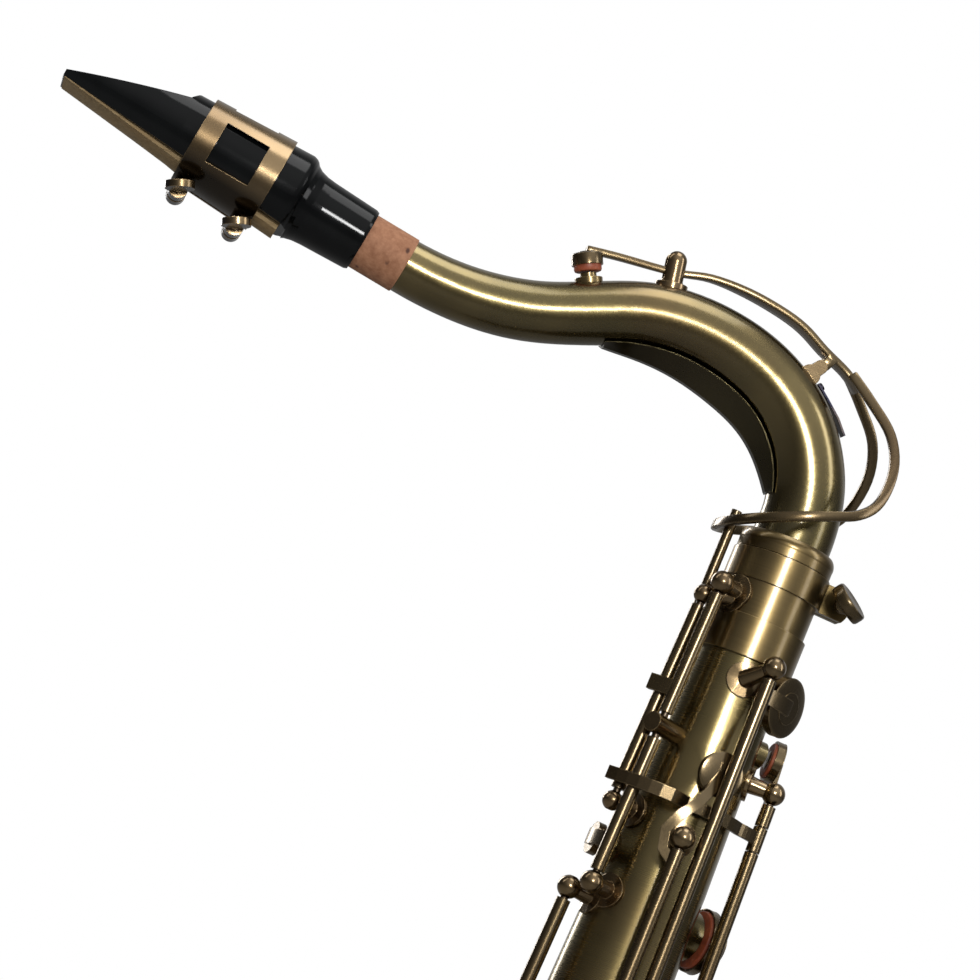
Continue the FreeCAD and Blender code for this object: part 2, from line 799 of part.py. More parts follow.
def arm_points(from_angle, to_angle, z_from, z_to, from_height, to_height, count=arm_steps):
    points = []
    normals = []
    for index in range(count + 1):
        share = index / count
        angle = from_angle + (to_angle - from_angle) * share
        z = z_from + (z_to - z_from) * share
        height = from_height + (to_height - from_height) * share
        points.append(on_tube(angle, height, z))
        normals.append(outward(angle))
    return points, normals


def stack_key(name):
    """Key that turns on a rod along the tube: hinge tube, arm, cup, pad."""
    hinge_angle, top_share, bottom_share, cup_angle, cup_share, radius_share = key_shares[name]
    tube, bore = hinge_tube(hinge_angle, top_share, bottom_share)
    shell, crown, pad = key_cup(name)
    _, _, _, cup_back = cup_stack(name)
    z_cup = along_tube(cup_share)
    inset = arm_width / 2 / tube_length + arm_start_share
    nearest = min(max(cup_share, top_share + inset), bottom_share - inset)
    end_height = cup_back + arm_thickness * arm_sink_share
    width = arm_width
    if name in arm_routes_shares:
        route = [(hinge_angle, nearest, hinge_height)] + list(arm_routes_shares[name])
        route.append((cup_angle, cup_share, end_height))
        points = [on_tube(angle, height, along_tube(share)) for angle, share, height in route]
        normals = [outward(angle) for angle, _, _ in route]
        width = arm_width * routed_arm_share
    else:
        points, normals = arm_points(hinge_angle, cup_angle, along_tube(nearest), z_cup,
                                     hinge_height, end_height)
    metal = [tube, shell, crown, ribbon(points, width, arm_thickness, normals)]
    metal += touch_pieces(name, cup_back)
    body = fused(metal).cut(bore)
    return body, pad


pearl_keys = ("b_key", "bis_key", "a_key", "g_key", "f_key", "e_key", "d_key")
# Touches. A row holds the angle it starts and ends at, its place along the tube and its rise
paddle_keys_shares = {
    "high_f_sharp_key": (77.0, 92.0, 0.672, 1.0), "high_e_key": (93.5, 120.0, 0.608, 1.35),
    "side_c_key": (108.0, 132.0, 0.565, 1.0), "side_b_flat_key": (108.0, 132.0, 0.674, 1.0),
    "f_sharp_trill_key": (45.5, 66.0, 0.613, 1.0), "palm_f_key": (-60.0, -112.0, 0.0935, 1.0),
    "palm_e_flat_key": (-60.0, -112.0, 0.139, 1.0), "palm_d_key": (-60.0, -112.0, 0.193, 1.0),
    "low_e_flat_key": (104.0, 140.0, 0.878, 1.0),
}
# Arms that bend round a post. A row is a point on the way: angle, place along the tube, height
arm_routes_shares = {
    "high_e_key": ((104.0, 0.1720, 7.8), (107.0, 0.1620, 7.8), (102.0, 0.1530, 8.0),
                   (93.0, 0.1430, 7.6), (86.0, 0.1330, 5.6)),
    "small_c_key": ((-4.0, 0.1300, 7.4), (-9.0, 0.1180, 7.2)),
}


def touch_pieces(name, cup_back):
    """What the finger or palm presses: a pearl holder on the cup, or a flat paddle."""
    row = key_shares[name]
    pieces = []
    if name in pearl_keys:
        z = along_tube(row[4])
        base = cup_back + cup_crown
        pieces.append(disc(row[3], z, base - cup_crown, base + pearl_rise, post_stem_radius))
        pieces.append(disc(row[3], z, base + pearl_rise, base + pearl_rise + pearl_thickness,
                           pearl_radius))
    if name in paddle_keys_shares:
        start, end, share, rise_share = paddle_keys_shares[name]
        z = along_tube(share)
        points, normals = arm_points(start, end, z, z, hinge_height,
                                     hinge_height + paddle_rise * rise_share)
        pieces.append(ribbon(points, paddle_width_share * tube_length, arm_thickness, normals))
    return pieces


def hinge_line(angle, top_share, bottom_share):
    top = on_tube(angle, hinge_height, along_tube(top_share))
    bottom = on_tube(angle, hinge_height, along_tube(bottom_share))
    return top, bottom


def turned(shapes, name, degrees):
    """Shapes turned about a key's own hinge, opening for a positive angle."""
    row = key_shares[name]
    top, bottom = hinge_line(row[0], row[1], row[2])
    axis = top - bottom
    direction = opening_direction(row[0], row[3])
    result = []
    for shape in shapes:
        moved = shape.copy()
        moved.rotate(bottom, axis, degrees * direction)
        result.append(moved)
    return result


def opening_direction(hinge_angle, cup_angle):
    """Sign of the turn about the upward hinge axis that lifts the cup off its hole."""
    return -1.0 if cup_angle < hinge_angle else 1.0


def key(name):
    body, pad = stack_key(name)
    if name in open_keys_degrees:
        body, pad = turned([body, pad], name, open_keys_degrees[name])
    return [body, pad]


# Tone holes, body tube

def chimney(angle, z, rise, radius):
    low = tube_radius(z) * -chimney_depth_share
    return disc(angle, z, low, rise, radius)


def body_tube():
    """Conical tube with a soldered chimney round each tone hole."""
    bottom = -tube_length
    top = -lower_ring_top
    outer = Part.makeCone(tube_radius(bottom), tube_radius(top), top - bottom, Vector(0, 0, bottom))
    inner = Part.makeCone(tube_radius(bottom) - tube_wall, tube_radius(top) - tube_wall,
                          top - bottom, Vector(0, 0, bottom))
    rims = []
    holes = []
    for name, row in key_shares.items():
        z = along_tube(row[4])
        hole_radius = row[5] * tube_length - cup_wall - chimney_wall - end_gap
        rims.append(chimney(row[3], z, chimney_rise(name), hole_radius))
        holes.append(chimney(row[3], z, chimney_rise(name) + tube_wall,
                             hole_radius - chimney_wall))
    rims.append(chimney(octave_cup_angle, along_tube(octave_cup_share), chimney_height,
                        octave_cup_radius - cup_wall))
    holes.append(chimney(octave_cup_angle, along_tube(octave_cup_share),
                         chimney_height + tube_wall, pip_bore_radius))
    solid = outer.multiFuse(rims)
    return solid.cut(inner).cut(Part.makeCompound(holes))


def chimneys_filled():
    """The tone holes' chimneys as filled bodies, to cut what stands beside them."""
    filled = []
    for row, rise in [(key_shares[name], chimney_rise(name)) for name in key_shares]:
        hole_radius = row[5] * tube_length - cup_wall - chimney_wall - end_gap
        filled.append(chimney(row[3], along_tube(row[4]), rise, hole_radius))
    return filled


# Bow and bell

def bow_stations(inset):
    stations = []
    middle = bell_distance / 2
    for index in range(bow_steps + 1):
        share = index / bow_steps
        turn = 180.0 + 180.0 * share
        heading = turn + 90.0
        radius = tube_bottom_radius + (bow_end_radius - tube_bottom_radius) * share - inset
        point = Vector(middle + middle * math.cos(math.radians(turn)), 0,
                       -tube_length + middle * math.sin(math.radians(turn)))
        stations.append((point, heading, radius))
    return stations


def low_c_centre():
    middle = bell_distance / 2
    turn = math.radians(low_c_turn)
    return Vector(middle + middle * math.cos(turn), 0, -tube_length + middle * math.sin(turn))


def bow_radius_at(turn):
    share = (turn - 180.0) / 180.0
    return tube_bottom_radius + (bow_end_radius - tube_bottom_radius) * share


def body_bow():
    """The U-shaped bottom of the instrument, with the low C tone hole on its right side."""
    outer = path_loft(bow_stations(0.0))
    inner = path_loft(bow_stations(tube_wall))
    centre = low_c_centre()
    rim = -bow_radius_at(low_c_turn) - chimney_height
    chimney_tube = cylinder(centre, Vector(centre.x, rim, centre.z), low_c_hole_radius())
    hole = cylinder(centre, Vector(centre.x, rim - tube_wall, centre.z),
                    low_c_hole_radius() - chimney_wall)
    return outer.fuse(chimney_tube).cut(inner).cut(hole)


def low_c_hole_radius():
    return low_c_radius - cup_wall - chimney_wall - end_gap


bell_profile_shares = ((0.0, 0.0), (0.25, 0.075), (0.5, 0.19), (0.65, 0.30), (0.78, 0.46),
                       (0.88, 0.66), (0.95, 0.84), (1.0, 1.0))


def bell_radius(share):
    """Outer radius of the bell at a share of its length from the bow."""
    for before, after in zip(bell_profile_shares, bell_profile_shares[1:]):
        if share <= after[0]:
            part = (share - before[0]) / (after[0] - before[0])
            value = before[1] + (after[1] - before[1]) * part
            return bow_end_radius + (bell_mouth_radius - bow_end_radius) * value
    return bell_mouth_radius


def bell_curve(inset):
    points = []
    for share, flare in bell_profile_shares:
        radius = bow_end_radius + (bell_mouth_radius - bow_end_radius) * flare - inset
        points.append(Vector(bell_distance + radius, 0, -tube_length + share * bell_length))
    curve = Part.BSplineCurve()
    curve.interpolate(points)
    return curve.toShape(), points[0], points[-1]


def bell_point(angle, height, share):
    """Point above the bell's surface. The angle runs from the front to the player's right."""
    turn = math.radians(angle)
    reach = bell_radius(share) + height
    return Vector(bell_distance + reach * math.cos(turn), -reach * math.sin(turn),
                  -tube_length + share * bell_length)


bell_key_shares = {
    "low_b_key": (96.0, 0.34, 0.0740),
    "low_b_flat_key": (96.0, 0.56, 0.0770),
    "low_c_sharp_key": (-96.0, 0.30, 0.0680),
}


def bell_filled(inset):
    """The bell's outer or inner form as one filled body, to cut with."""
    curve, low, high = bell_curve(inset)
    closing = Part.makePolygon([high, Vector(bell_distance, 0, high.z),
                                Vector(bell_distance, 0, low.z), low])
    face = Part.Face(Part.Wire([curve] + closing.Edges))
    return face.revolve(Vector(bell_distance, 0, 0), UP, 360.0)


def bell():
    """Flared bell with its rolled rim and the chimneys of the three lowest tone holes."""
    centre = Vector(bell_distance, 0, 0)
    outer, outer_low, outer_high = bell_curve(0.0)
    inner, inner_low, inner_high = bell_curve(tube_wall)
    wall = Part.Wire([outer, Part.makeLine(outer_high, inner_high), inner,
                      Part.makeLine(inner_low, outer_low)])
    shell = Part.Face(wall).revolve(centre, UP, 360.0)
    rim = Part.makeTorus(bell_mouth_radius - tube_wall / 2, bell_rim_radius,
                         Vector(bell_distance, 0, -tube_length + bell_length), UP)
    solid = shell.fuse(rim)
    core = bell_filled(tube_wall)
    for angle, share, radius_share in bell_key_shares.values():
        hole_radius = radius_share * bell_length - cup_wall - chimney_wall - end_gap
        start = bell_point(angle, -bell_radius(share) * chimney_depth_share, share)
        rim_end = bell_point(angle, chimney_height, share)
        beyond = bell_point(angle, chimney_height + tube_wall, share)
        collar = cylinder(start, rim_end, hole_radius).cut(core)
        hole = cylinder(start, beyond, hole_radius - chimney_wall)
        solid = solid.fuse(collar).cut(hole)
    return solid


def bow_ferrules():
    """Two rings that join the bow to the body tube and to the bell."""
    rings = []
    for x, radius in ((0.0, tube_bottom_radius), (bell_distance, bow_end_radius)):
        low = -tube_length - ferrule_width / 2
        outer = Part.makeCylinder(radius + ferrule_wall, ferrule_width, Vector(x, 0, low))
        if x == 0.0:
            upper = Part.makeCone(radius, tube_radius(-tube_length + ferrule_width / 2),
                                  ferrule_width / 2, Vector(x, 0, -tube_length))
            inner = upper.fuse(path_loft(bow_stations(0.0)))
        else:
            upper = Part.makeCylinder(bell_radius(ferrule_width / 2 / bell_length) + end_gap / 3,
                                      ferrule_width / 2, Vector(x, 0, -tube_length))
            inner = upper.fuse(path_loft(bow_stations(0.0)))
        rings.append(outer.cut(inner))
    return rings


def bell_brace():
    """Ring between the body tube and the bell, with a foot on each."""
    z = -tube_length + brace_place_share * bell_length
    body_side = tube_radius(z)
    bell_side = bell_distance - bell_radius(brace_place_share)
    middle = (body_side + bell_side) / 2
    ring_radius = (bell_side - body_side) / 2 - brace_foot_height
    ring = Part.makeCylinder(ring_radius, arm_width, Vector(middle, 0, z - arm_width / 2))
    hole = Part.makeCylinder(ring_radius - 2 * arm_thickness, arm_width,
                             Vector(middle, 0, z - arm_width / 2))
    reach = Vector(2 * brace_foot_height, 0, 0)
    low = Vector(body_side, 0, z)
    high = Vector(bell_side, 0, z)
    feet = [cylinder(low - reach, low + reach, brace_foot_radius),
            cylinder(high - reach, high + reach, brace_foot_radius)]
    solid = fused([ring] + feet).cut(hole)
    bottom = z - 2 * brace_foot_radius
    top = z + 2 * brace_foot_radius
    tube_core = Part.makeCone(tube_radius(bottom), tube_radius(top), top - bottom,
                              Vector(0, 0, bottom))
    return solid.cut(tube_core).cut(bell_filled(0.0))


# Neck octave key, with the sizes of its own pieces


# Over the bend: share of the neck, height above it and width of the bar
octave_bar_stations = ((0.571, 3.0, 0.45), (0.53, 2.3, 0.4), (0.464, 1.5, 0.3), (0.42, 1.9, 0.55),
                       (0.375, 2.2, 0.9), (0.331, 2.5, 1.0), (0.300, 2.6, 1.0),
                       (0.270, 2.6, 0.95), (0.240, 3.1, 0.85), (0.218, 3.4, 0.95))

# Arms of the loop: share of the neck, height above it, sideways place, all in named sizes
loop_arm_shares = ((0.236, 1.0, 0.10), (0.206, 1.06, 0.24), (0.170, 1.22, 0.42),
                   (0.137, 1.06, 0.60), (0.103, 0.58, 0.80))


def octave_pivot():
    return off_neck(octave_pivot_share, octave_pivot_height)


def loop_point(turn):
    """Point of the round part of the loop, which slopes down to the back."""
    angle = math.radians(turn)
    x = loop_radius * math.cos(angle)
    return Vector(x, -loop_radius * math.sin(angle), loop_low + (x + loop_radius) * loop_slope)


def loop_side(side):
    """One arm of the loop, from the bar over the bend to the back of the neck."""
    points = []
    normals = []
    for share, height_share, side_share in loop_arm_shares:
        points.append(off_neck(share, loop_arm_height * height_share,
                               side * -loop_radius * side_share))
        normals.append(ACROSS * -side)
    for turn in loop_turns:
        spot = loop_point(turn)
        spot.y = spot.y * side
        points.append(spot)
        angle = math.radians(turn)
        normals.append(Vector(math.cos(angle), -side * math.sin(angle), 0))
    return ribbon(points, loop_band_width, loop_band_thickness, normals)


def octave_bar():
    """Tapered bar from the cup, through the guide and over the bend to the pivot."""
    sections = []
    for share, height_share, width_share in octave_bar_stations:
        middle = off_neck(share, octave_pivot_height * height_share)
        normal = neck_normal(share) * (octave_bar_thickness / 2)
        side = ACROSS * (octave_bar_width * width_share / 2)
        corners = [middle - side - normal, middle + side - normal,
                   middle + side + normal, middle - side + normal]
        sections.append(Part.makePolygon(corners + [corners[0]]))
    return outside_out(Part.makeLoft(sections, True))


def neck_octave_pieces():
    """Key that opens the neck's vent: cup, bar, hinge block and loop round the neck."""
    pip_top = off_neck(pip_share, pip_height)
    normal = neck_normal(pip_share)
    pad_low = pip_top + normal * pad_gap
    pad_high = pad_low + normal * octave_pad_thickness
    cup_high = pad_high + normal * octave_neck_cup_height
    lip = pad_high - normal * (octave_neck_cup_height * octave_neck_lip_share)
    pad = cylinder(pad_low, pad_high, octave_pad_radius)
    cup = cylinder(lip, cup_high, octave_neck_cup_radius).cut(
        cylinder(lip, pad_high, octave_pad_radius + pad_clearance))
    pivot = octave_pivot()
    half = ACROSS * (octave_bar_width / 2)
    block = cylinder(pivot - half, pivot + half, hinge_radius)
    rise = off_neck(octave_pivot_share, octave_pivot_height * octave_web_share)
    web = ribbon([pivot, rise], octave_bar_width - saddle_gap, hinge_radius * 2,
                 [Vector(1, 0, 0)] * 2)
    bore = cylinder(pivot - half * 2, pivot + half * 2, rod_radius + rod_clearance)
    body = fused([octave_bar(), cup, block, web, loop_side(1), loop_side(-1)]).cut(bore)
    return body, pad


def neck_key_saddle():
    """Two cheeks soldered on the neck, the pin between them and the slotted guide post."""
    pivot = octave_pivot()
    normal = neck_normal(octave_pivot_share)
    inner = octave_bar_width / 2 + saddle_gap
    foot = off_neck(octave_pivot_share, -neck_wall)
    reach = octave_pivot_height + hinge_radius
    cheeks = []
    neck_solid = path_loft([(p, h, neck_radius(r)) for p, h, r in NECK])
    for side in (1, -1):
        start = foot + ACROSS * (side * inner)
        end = foot + ACROSS * (side * (inner + saddle_cheek))
        low = cylinder(start, end, hinge_radius * saddle_foot_share)
        high = cylinder(pivot + ACROSS * (side * inner),
                        pivot + ACROSS * (side * (inner + saddle_cheek)), hinge_radius)
        middle = ribbon([foot + ACROSS * (side * (inner + saddle_cheek / 2)) - normal * reach,
                         foot + ACROSS * (side * (inner + saddle_cheek / 2)),
                         pivot + ACROSS * (side * (inner + saddle_cheek / 2))],
                        hinge_radius * 2, saddle_cheek, [ACROSS] * 3)
        cheeks.append(fused([low, high, middle]).cut(neck_solid))
    pin = cylinder(pivot - ACROSS * (inner + saddle_cheek), pivot + ACROSS * (inner + saddle_cheek),
                   rod_radius)
    return [fused(cheeks + [pin])]


def neck_key_guide():
    """Domed post on the neck, slotted for the arm of the octave key."""
    foot = off_neck(octave_guide_share, -neck_wall)
    top = off_neck(octave_guide_share, octave_guide_height)
    base_top = off_neck(octave_guide_share, post_base_thickness)
    post = cylinder(foot, top, octave_guide_radius)
    dome = Part.makeSphere(octave_guide_radius, top).common(
        cylinder(top, top + (top - foot), octave_guide_radius * 2))
    base = cylinder(foot, base_top, octave_guide_radius * octave_guide_base_share)
    along = neck_at(octave_guide_share + octave_guide_step_share)[0]
    along = along - neck_at(octave_guide_share - octave_guide_step_share)[0]
    along.normalize()
    normal = neck_normal(octave_guide_share)
    middle = off_neck(octave_guide_share, octave_guide_slot_low + octave_guide_height)
    slot = ribbon([middle - along * (octave_guide_radius * 3), middle,
                   middle + along * (octave_guide_radius * 3)],
                  octave_guide_slot, 2 * octave_guide_height, [normal] * 3)
    neck_solid = path_loft([(p, h, neck_radius(r)) for p, h, r in NECK])
    return fused([post, dome, base]).cut(slot).cut(neck_solid)


# Flat spring: share of the neck, and height above it in thicknesses of the strip
spring_strip_shares = ((0.245, 1.0), (0.225, 1.6), (0.2, 2.4), (0.18, 3.2))
spring_screw_share = 0.005


def neck_key_spring():
    """Flat spring on the neck under the loop, in front of the saddle."""
    points = [off_neck(share, spring_strip * rise) for share, rise in spring_strip_shares]
    normals = [neck_normal(share) for share, _ in spring_strip_shares]
    screw_share = spring_strip_shares[0][0] - spring_screw_share
    foot = cylinder(off_neck(screw_share, 0.0), off_neck(screw_share, spring_strip * 3), rod_radius)
    strip = ribbon(points, spring_strip_width, spring_strip, normals)
    neck_solid = path_loft([(p, h, neck_radius(r)) for p, h, r in NECK])
    return fused([strip, foot]).cut(neck_solid)


# Octave mechanism on the back of the tube

def sleeve(row):
    return hinge_tube(row[0], row[1], row[2])


def octave_pin():
    """Sleeve with the pin that pushes the loop of the neck's octave key."""
    tube, bore = sleeve(octave_pin_shares)
    turn = math.radians(pin_angle)
    low = Vector(pin_reach * math.cos(turn), -pin_reach * math.sin(turn), -pin_bottom)
    high = Vector(low.x, low.y, pin_top)
    pin = cylinder(low, high, pin_radius)
    z = -pin_bottom + arm_width / 2
    reach_height = pin_reach - tube_radius(z)
    points, normals = arm_points(octave_pin_shares[0], pin_angle, z, z, hinge_height,
                                 reach_height)
    return fused([tube, pin, ribbon(points, arm_width, arm_thickness, normals)]).cut(bore)


def octave_rocker():
    """Sleeve beside the pin's, with the lever that bears on it."""
    tube, bore = sleeve(octave_rocker_shares)
    z = along_tube(rocker_lever_share)
    points, normals = arm_points(octave_rocker_shares[0], octave_pin_shares[0] + rocker_lever_lap,
                                 z, z, hinge_height + arm_thickness / 2,
                                 hinge_height + hinge_radius + arm_thickness)
    return fused([tube, ribbon(points, arm_width, arm_thickness, normals)]).cut(bore)


def body_octave_key():
    """Small key on the back that closes the vent of the body."""
    tube, bore = sleeve(body_octave_shares)
    z = along_tube(octave_cup_share)
    pad_face = chimney_height + pad_gap
    pad_back = pad_face + pad_thickness
    back = pad_back + cup_thickness
    lip = pad_face + pad_thickness / 2
    inner = octave_cup_radius - cup_wall
    shell = disc(octave_cup_angle, z, lip, back, octave_cup_radius)
    pocket = disc(octave_cup_angle, z, lip, pad_back, inner)
    pad = disc(octave_cup_angle, z, pad_face, pad_back, inner - pad_clearance)
    points, normals = arm_points(body_octave_shares[0], octave_cup_angle, z, z,
                                 hinge_height, back + arm_thickness * arm_sink_share)
    body = fused([tube, shell.cut(pocket), ribbon(points, arm_width, arm_thickness, normals)])
    return [body.cut(bore), pad]


def thumb_octave_lever():
    """Long sleeve with the plate above the thumb rest."""
    tube, bore = sleeve(thumb_lever_shares)
    z = along_tube(thumb_touch_share)
    points, normals = arm_points(thumb_lever_shares[0], thumb_touch_angle, z, z, hinge_height,
                                 hinge_height + arm_thickness * 2)
    plate = ribbon(points, paddle_width_share * tube_length, arm_thickness, normals)
    return fused([tube, plate]).cut(bore)


# Octave link: flat bar bent round the front of the tube

def octave_link():
    """Flat bar from the upper stack's rod, close round the tube, to the octave sleeves."""
    tube, bore = sleeve(link_shares)
    z = along_tube(link_place_share)
    over = hinge_height + hinge_radius + 2 * link_thickness
    start = arm_points(link_shares[0], link_near_turns[0], z, z, hinge_height, link_height)
    middle = arm_points(link_near_turns[1], link_far_turns[0], z, z, link_height, link_height)
    tail = arm_points(link_far_turns[1], link_angle, z, z, (over + link_height) / 2, over)
    bar = ribbon(start[0] + middle[0] + tail[0], arm_width * link_width_share, link_thickness,
                 start[1] + middle[1] + tail[1])
    return fused([tube, bar]).cut(bore)


# Low keys on the bow and the bell

def low_c_key():
    """Key of the bow's tone hole, turning on the same rod as the low E flat key."""
    tube, bore = sleeve(low_c_hinge_shares)
    centre = low_c_centre()
    surface = -bow_radius_at(low_c_turn)
    rim = surface - chimney_height
    pad_face = rim - pad_gap
    pad_back = pad_face - pad_thickness
    back = pad_back - cup_thickness

    def slab(low, high, radius):
        return cylinder(Vector(centre.x, low, centre.z), Vector(centre.x, high, centre.z), radius)

    lip = pad_face - pad_thickness / 2
    shell = slab(lip, back, low_c_radius).cut(slab(lip, pad_back, low_c_radius - cup_wall))
    crown = slab(back, back - cup_crown, low_c_radius * crown_share)
    pad = slab(pad_face, pad_back, low_c_radius - cup_wall - pad_clearance)
    hinge_angle = low_c_hinge_shares[0]
    start = on_tube(hinge_angle, hinge_height, along_tube(low_c_arm_share))
    end = Vector(centre.x, back - arm_thickness / 2, centre.z)
    elbow = on_tube(low_c_elbow_angle, hinge_height, along_tube(low_c_elbow_share))
    arm = ribbon([start, elbow, end], arm_width, arm_thickness, [ACROSS * -1.0] * 3)
    touch_z = along_tube(low_c_touch_share)
    touch = ribbon([on_tube(hinge_angle + turn, hinge_height + paddle_rise * rise, touch_z)
                    for turn, rise in zip(low_c_touch_turns, low_c_touch_rises)],
                   paddle_width_share * tube_length, arm_thickness,
                   [outward(hinge_angle + turn) for turn in low_c_touch_turns])
    body = fused([tube, shell, crown, arm, touch]).cut(bore)
    axis = hinge_line(*low_c_hinge_shares)
    pieces = []
    for shape in (body, pad):
        moved = shape.copy()
        moved.rotate(axis[1], axis[0] - axis[1], low_c_open_degrees)
        pieces.append(moved)
    return pieces


def bell_hinge(name):
    """Top and bottom of the hinge line of a key on the bell."""
    angle, share, _ = bell_key_shares[name]
    side = 1.0 if angle > 0 else -1.0
    middle = bell_point(side * bell_hinge_angle, bell_hinge_height, share)
    half = Vector(0, 0, bell_hinge_half_share * bell_length)
    return middle + half, middle - half


def bell_key(name):
    """Key with its cup on the side of the bell and its hinge between bell and body."""
    angle, share, radius_share = bell_key_shares[name]
    side = 1.0 if angle > 0 else -1.0
    radius = radius_share * bell_length
    top, bottom = bell_hinge(name)
    tube = cylinder(top, bottom, hinge_radius)
    bore = cylinder(top, bottom, rod_radius + rod_clearance)
    pad_face = chimney_height + pad_gap
    pad_back = pad_face + pad_thickness
    back = pad_back + cup_thickness
    lip = pad_face + pad_thickness / 2

    def slab(low, high, slab_radius):
        return cylinder(bell_point(angle, low, share), bell_point(angle, high, share), slab_radius)

    shell = slab(lip, back, radius).cut(slab(lip, pad_back, radius - cup_wall))
    crown = slab(back, back + cup_crown, radius * crown_share)
    pad = slab(pad_face, pad_back, radius - cup_wall - pad_clearance)
    out = outward(angle)
    start = bell_point(side * bell_hinge_angle, bell_hinge_height, share)
    cup_top = bell_point(angle, back + arm_thickness * arm_sink_share, share)
    elbow = cup_top - UP.cross(out) * (side * (radius + arm_width / 2))
    arm = ribbon([start, elbow, cup_top], arm_width * bell_arm_share, arm_thickness,
                 [outward(side * bell_hinge_angle), out, out])
    pieces = [fused([tube, shell, crown, arm]).cut(bore), pad]
    degrees = bell_open_degrees.get(name, 0.0) * -side
    moved = []
    for shape in pieces:
        copy = shape.copy()
        copy.rotate(bottom, UP, degrees)
        moved.append(copy)
    return moved


# Left hand table

table_shares = {"g_sharp_lever": (0.5300, 0.5560), "low_c_sharp_lever": (0.5566, 0.5830),
                "low_b_lever": (0.5836, 0.6100), "low_b_flat_lever": (0.6106, 0.6370)}


def table_lever(name):
    """Lever of the left little finger, with its flat touch."""
    top_share, bottom_share = table_shares[name]
    tube, bore = hinge_tube(table_angle, top_share, bottom_share)
    z = along_tube((top_share + bottom_share) / 2)
    points, normals = arm_points(table_angle, table_touch_angle, z, z, hinge_height,
                                 hinge_height + table_rise)
    width = (bottom_share - top_share) * tube_length - end_gap
    return fused([tube, ribbon(points, width, arm_thickness * table_touch_share, normals)]).cut(bore)


# Posts and rods

rod_lines = {
    "high_f_sharp": (77.0, 0.0670, 0.7000), "high_e": (93.5, 0.1700, 0.6350),
    "side": (108.0, 0.2900, 0.6900), "upper_stack": (12.0, 0.1250, 0.4110),
    "palm": (-60.0, 0.0730, 0.2190), "g_sharp": (-108.0, 0.4400, 0.5050),
    "lower_stack": (-36.0, 0.4860, 0.7900), "trill": (45.5, 0.5600, 0.6300),
    "low": (104.0, 0.8600, 0.9650), "rocker": (142.5, 0.0335, 0.1950),
    "pin": (157.0, 0.0420, 0.1500), "thumb": (163.0, 0.2150, 0.3800),
    "table": (-128.0, 0.5300, 0.6370),
}
leaning_posts = {"high_f_sharp": (92.0, 0.0700), "pin": (146.0, 0.0300)}


def surface_radius(z):
    """Radius of what stands at a height: receiver, lower ring or tube."""
    if z > -lower_ring_top:
        return receiver_radius
    if z > -lower_ring_top - lower_ring_height:
        return lower_ring_radius
    return tube_radius(z)


def post(angle, share, base_angle, base_share, ball_radius):
    """Ball post: saddle-shaped base on the tube, tapered stem and ball round the rod."""
    z = along_tube(share)
    base_z = along_tube(base_share)
    surface = surface_radius(base_z)
    centre = on_tube(angle, hinge_height, z)
    way = outward(base_angle)
    foot = way * surface + UP * base_z
    base = cylinder(foot - way * (surface / 2), foot + way * post_base_thickness, post_base_radius)
    low = base_z - post_base_radius
    high = base_z + post_base_radius
    if surface == tube_radius(base_z):
        core = Part.makeCone(tube_radius(low), tube_radius(high), high - low, Vector(0, 0, low))
        skin = Part.makeCone(tube_radius(low) + post_base_thickness,
                             tube_radius(high) + post_base_thickness, high - low, Vector(0, 0, low))
    else:
        core = Part.makeCylinder(surface, high - low, Vector(0, 0, low))
        skin = Part.makeCylinder(surface + post_base_thickness, high - low, Vector(0, 0, low))
    run = centre - foot
    stem = Part.makeCone(post_stem_radius * post_stem_spread, post_stem_radius,
                         run.Length, foot, run)
    ball = Part.makeSphere(ball_radius, centre)
    return fused([base.common(skin), stem, ball]).cut(core)


def stop_post():
    """Flat-ended post between the two sleeves of the back rod."""
    z = along_tube(stop_post_share)
    angle = octave_rocker_shares[0]
    foot = on_tube(angle, -post_base_thickness, z)
    head = on_tube(angle, hinge_height + hinge_radius + arm_thickness, z)
    core = Part.makeCone(tube_radius(z - post_base_radius), tube_radius(z + post_base_radius),
                         2 * post_base_radius, Vector(0, 0, z - post_base_radius))
    return cylinder(foot, head, post_ball_radius * small_ball_share).cut(core)


def rod_ends(name):
    angle, top_share, bottom_share = rod_lines[name]
    top = on_tube(angle, hinge_height, along_tube(top_share - post_offset_share))
    bottom = on_tube(angle, hinge_height, along_tube(bottom_share + post_offset_share))
    return top, bottom


def rod_run(name):
    """The rod's line, drawn out past its posts, to bore them with."""
    top, bottom = rod_ends(name)
    reach = (top - bottom) * (post_ball_radius * 2 / (top - bottom).Length)
    return cylinder(top + reach, bottom - reach, rod_radius)


sprung_lines = ("high_e", "side", "palm", "g_sharp", "lower_stack", "low", "table")


def needle(name):
    """Needle spring, set in the top post of its rod and running along under the sleeve."""
    angle, top_share, _ = rod_lines[name]
    height = (hinge_height - hinge_radius) * spring_height_share
    start_share = top_share - post_offset_share
    start = on_tube(angle, height, along_tube(start_share) - post_stem_radius)
    end = on_tube(angle, height, along_tube(start_share) - spring_length)
    return cylinder(start, end, spring_radius)


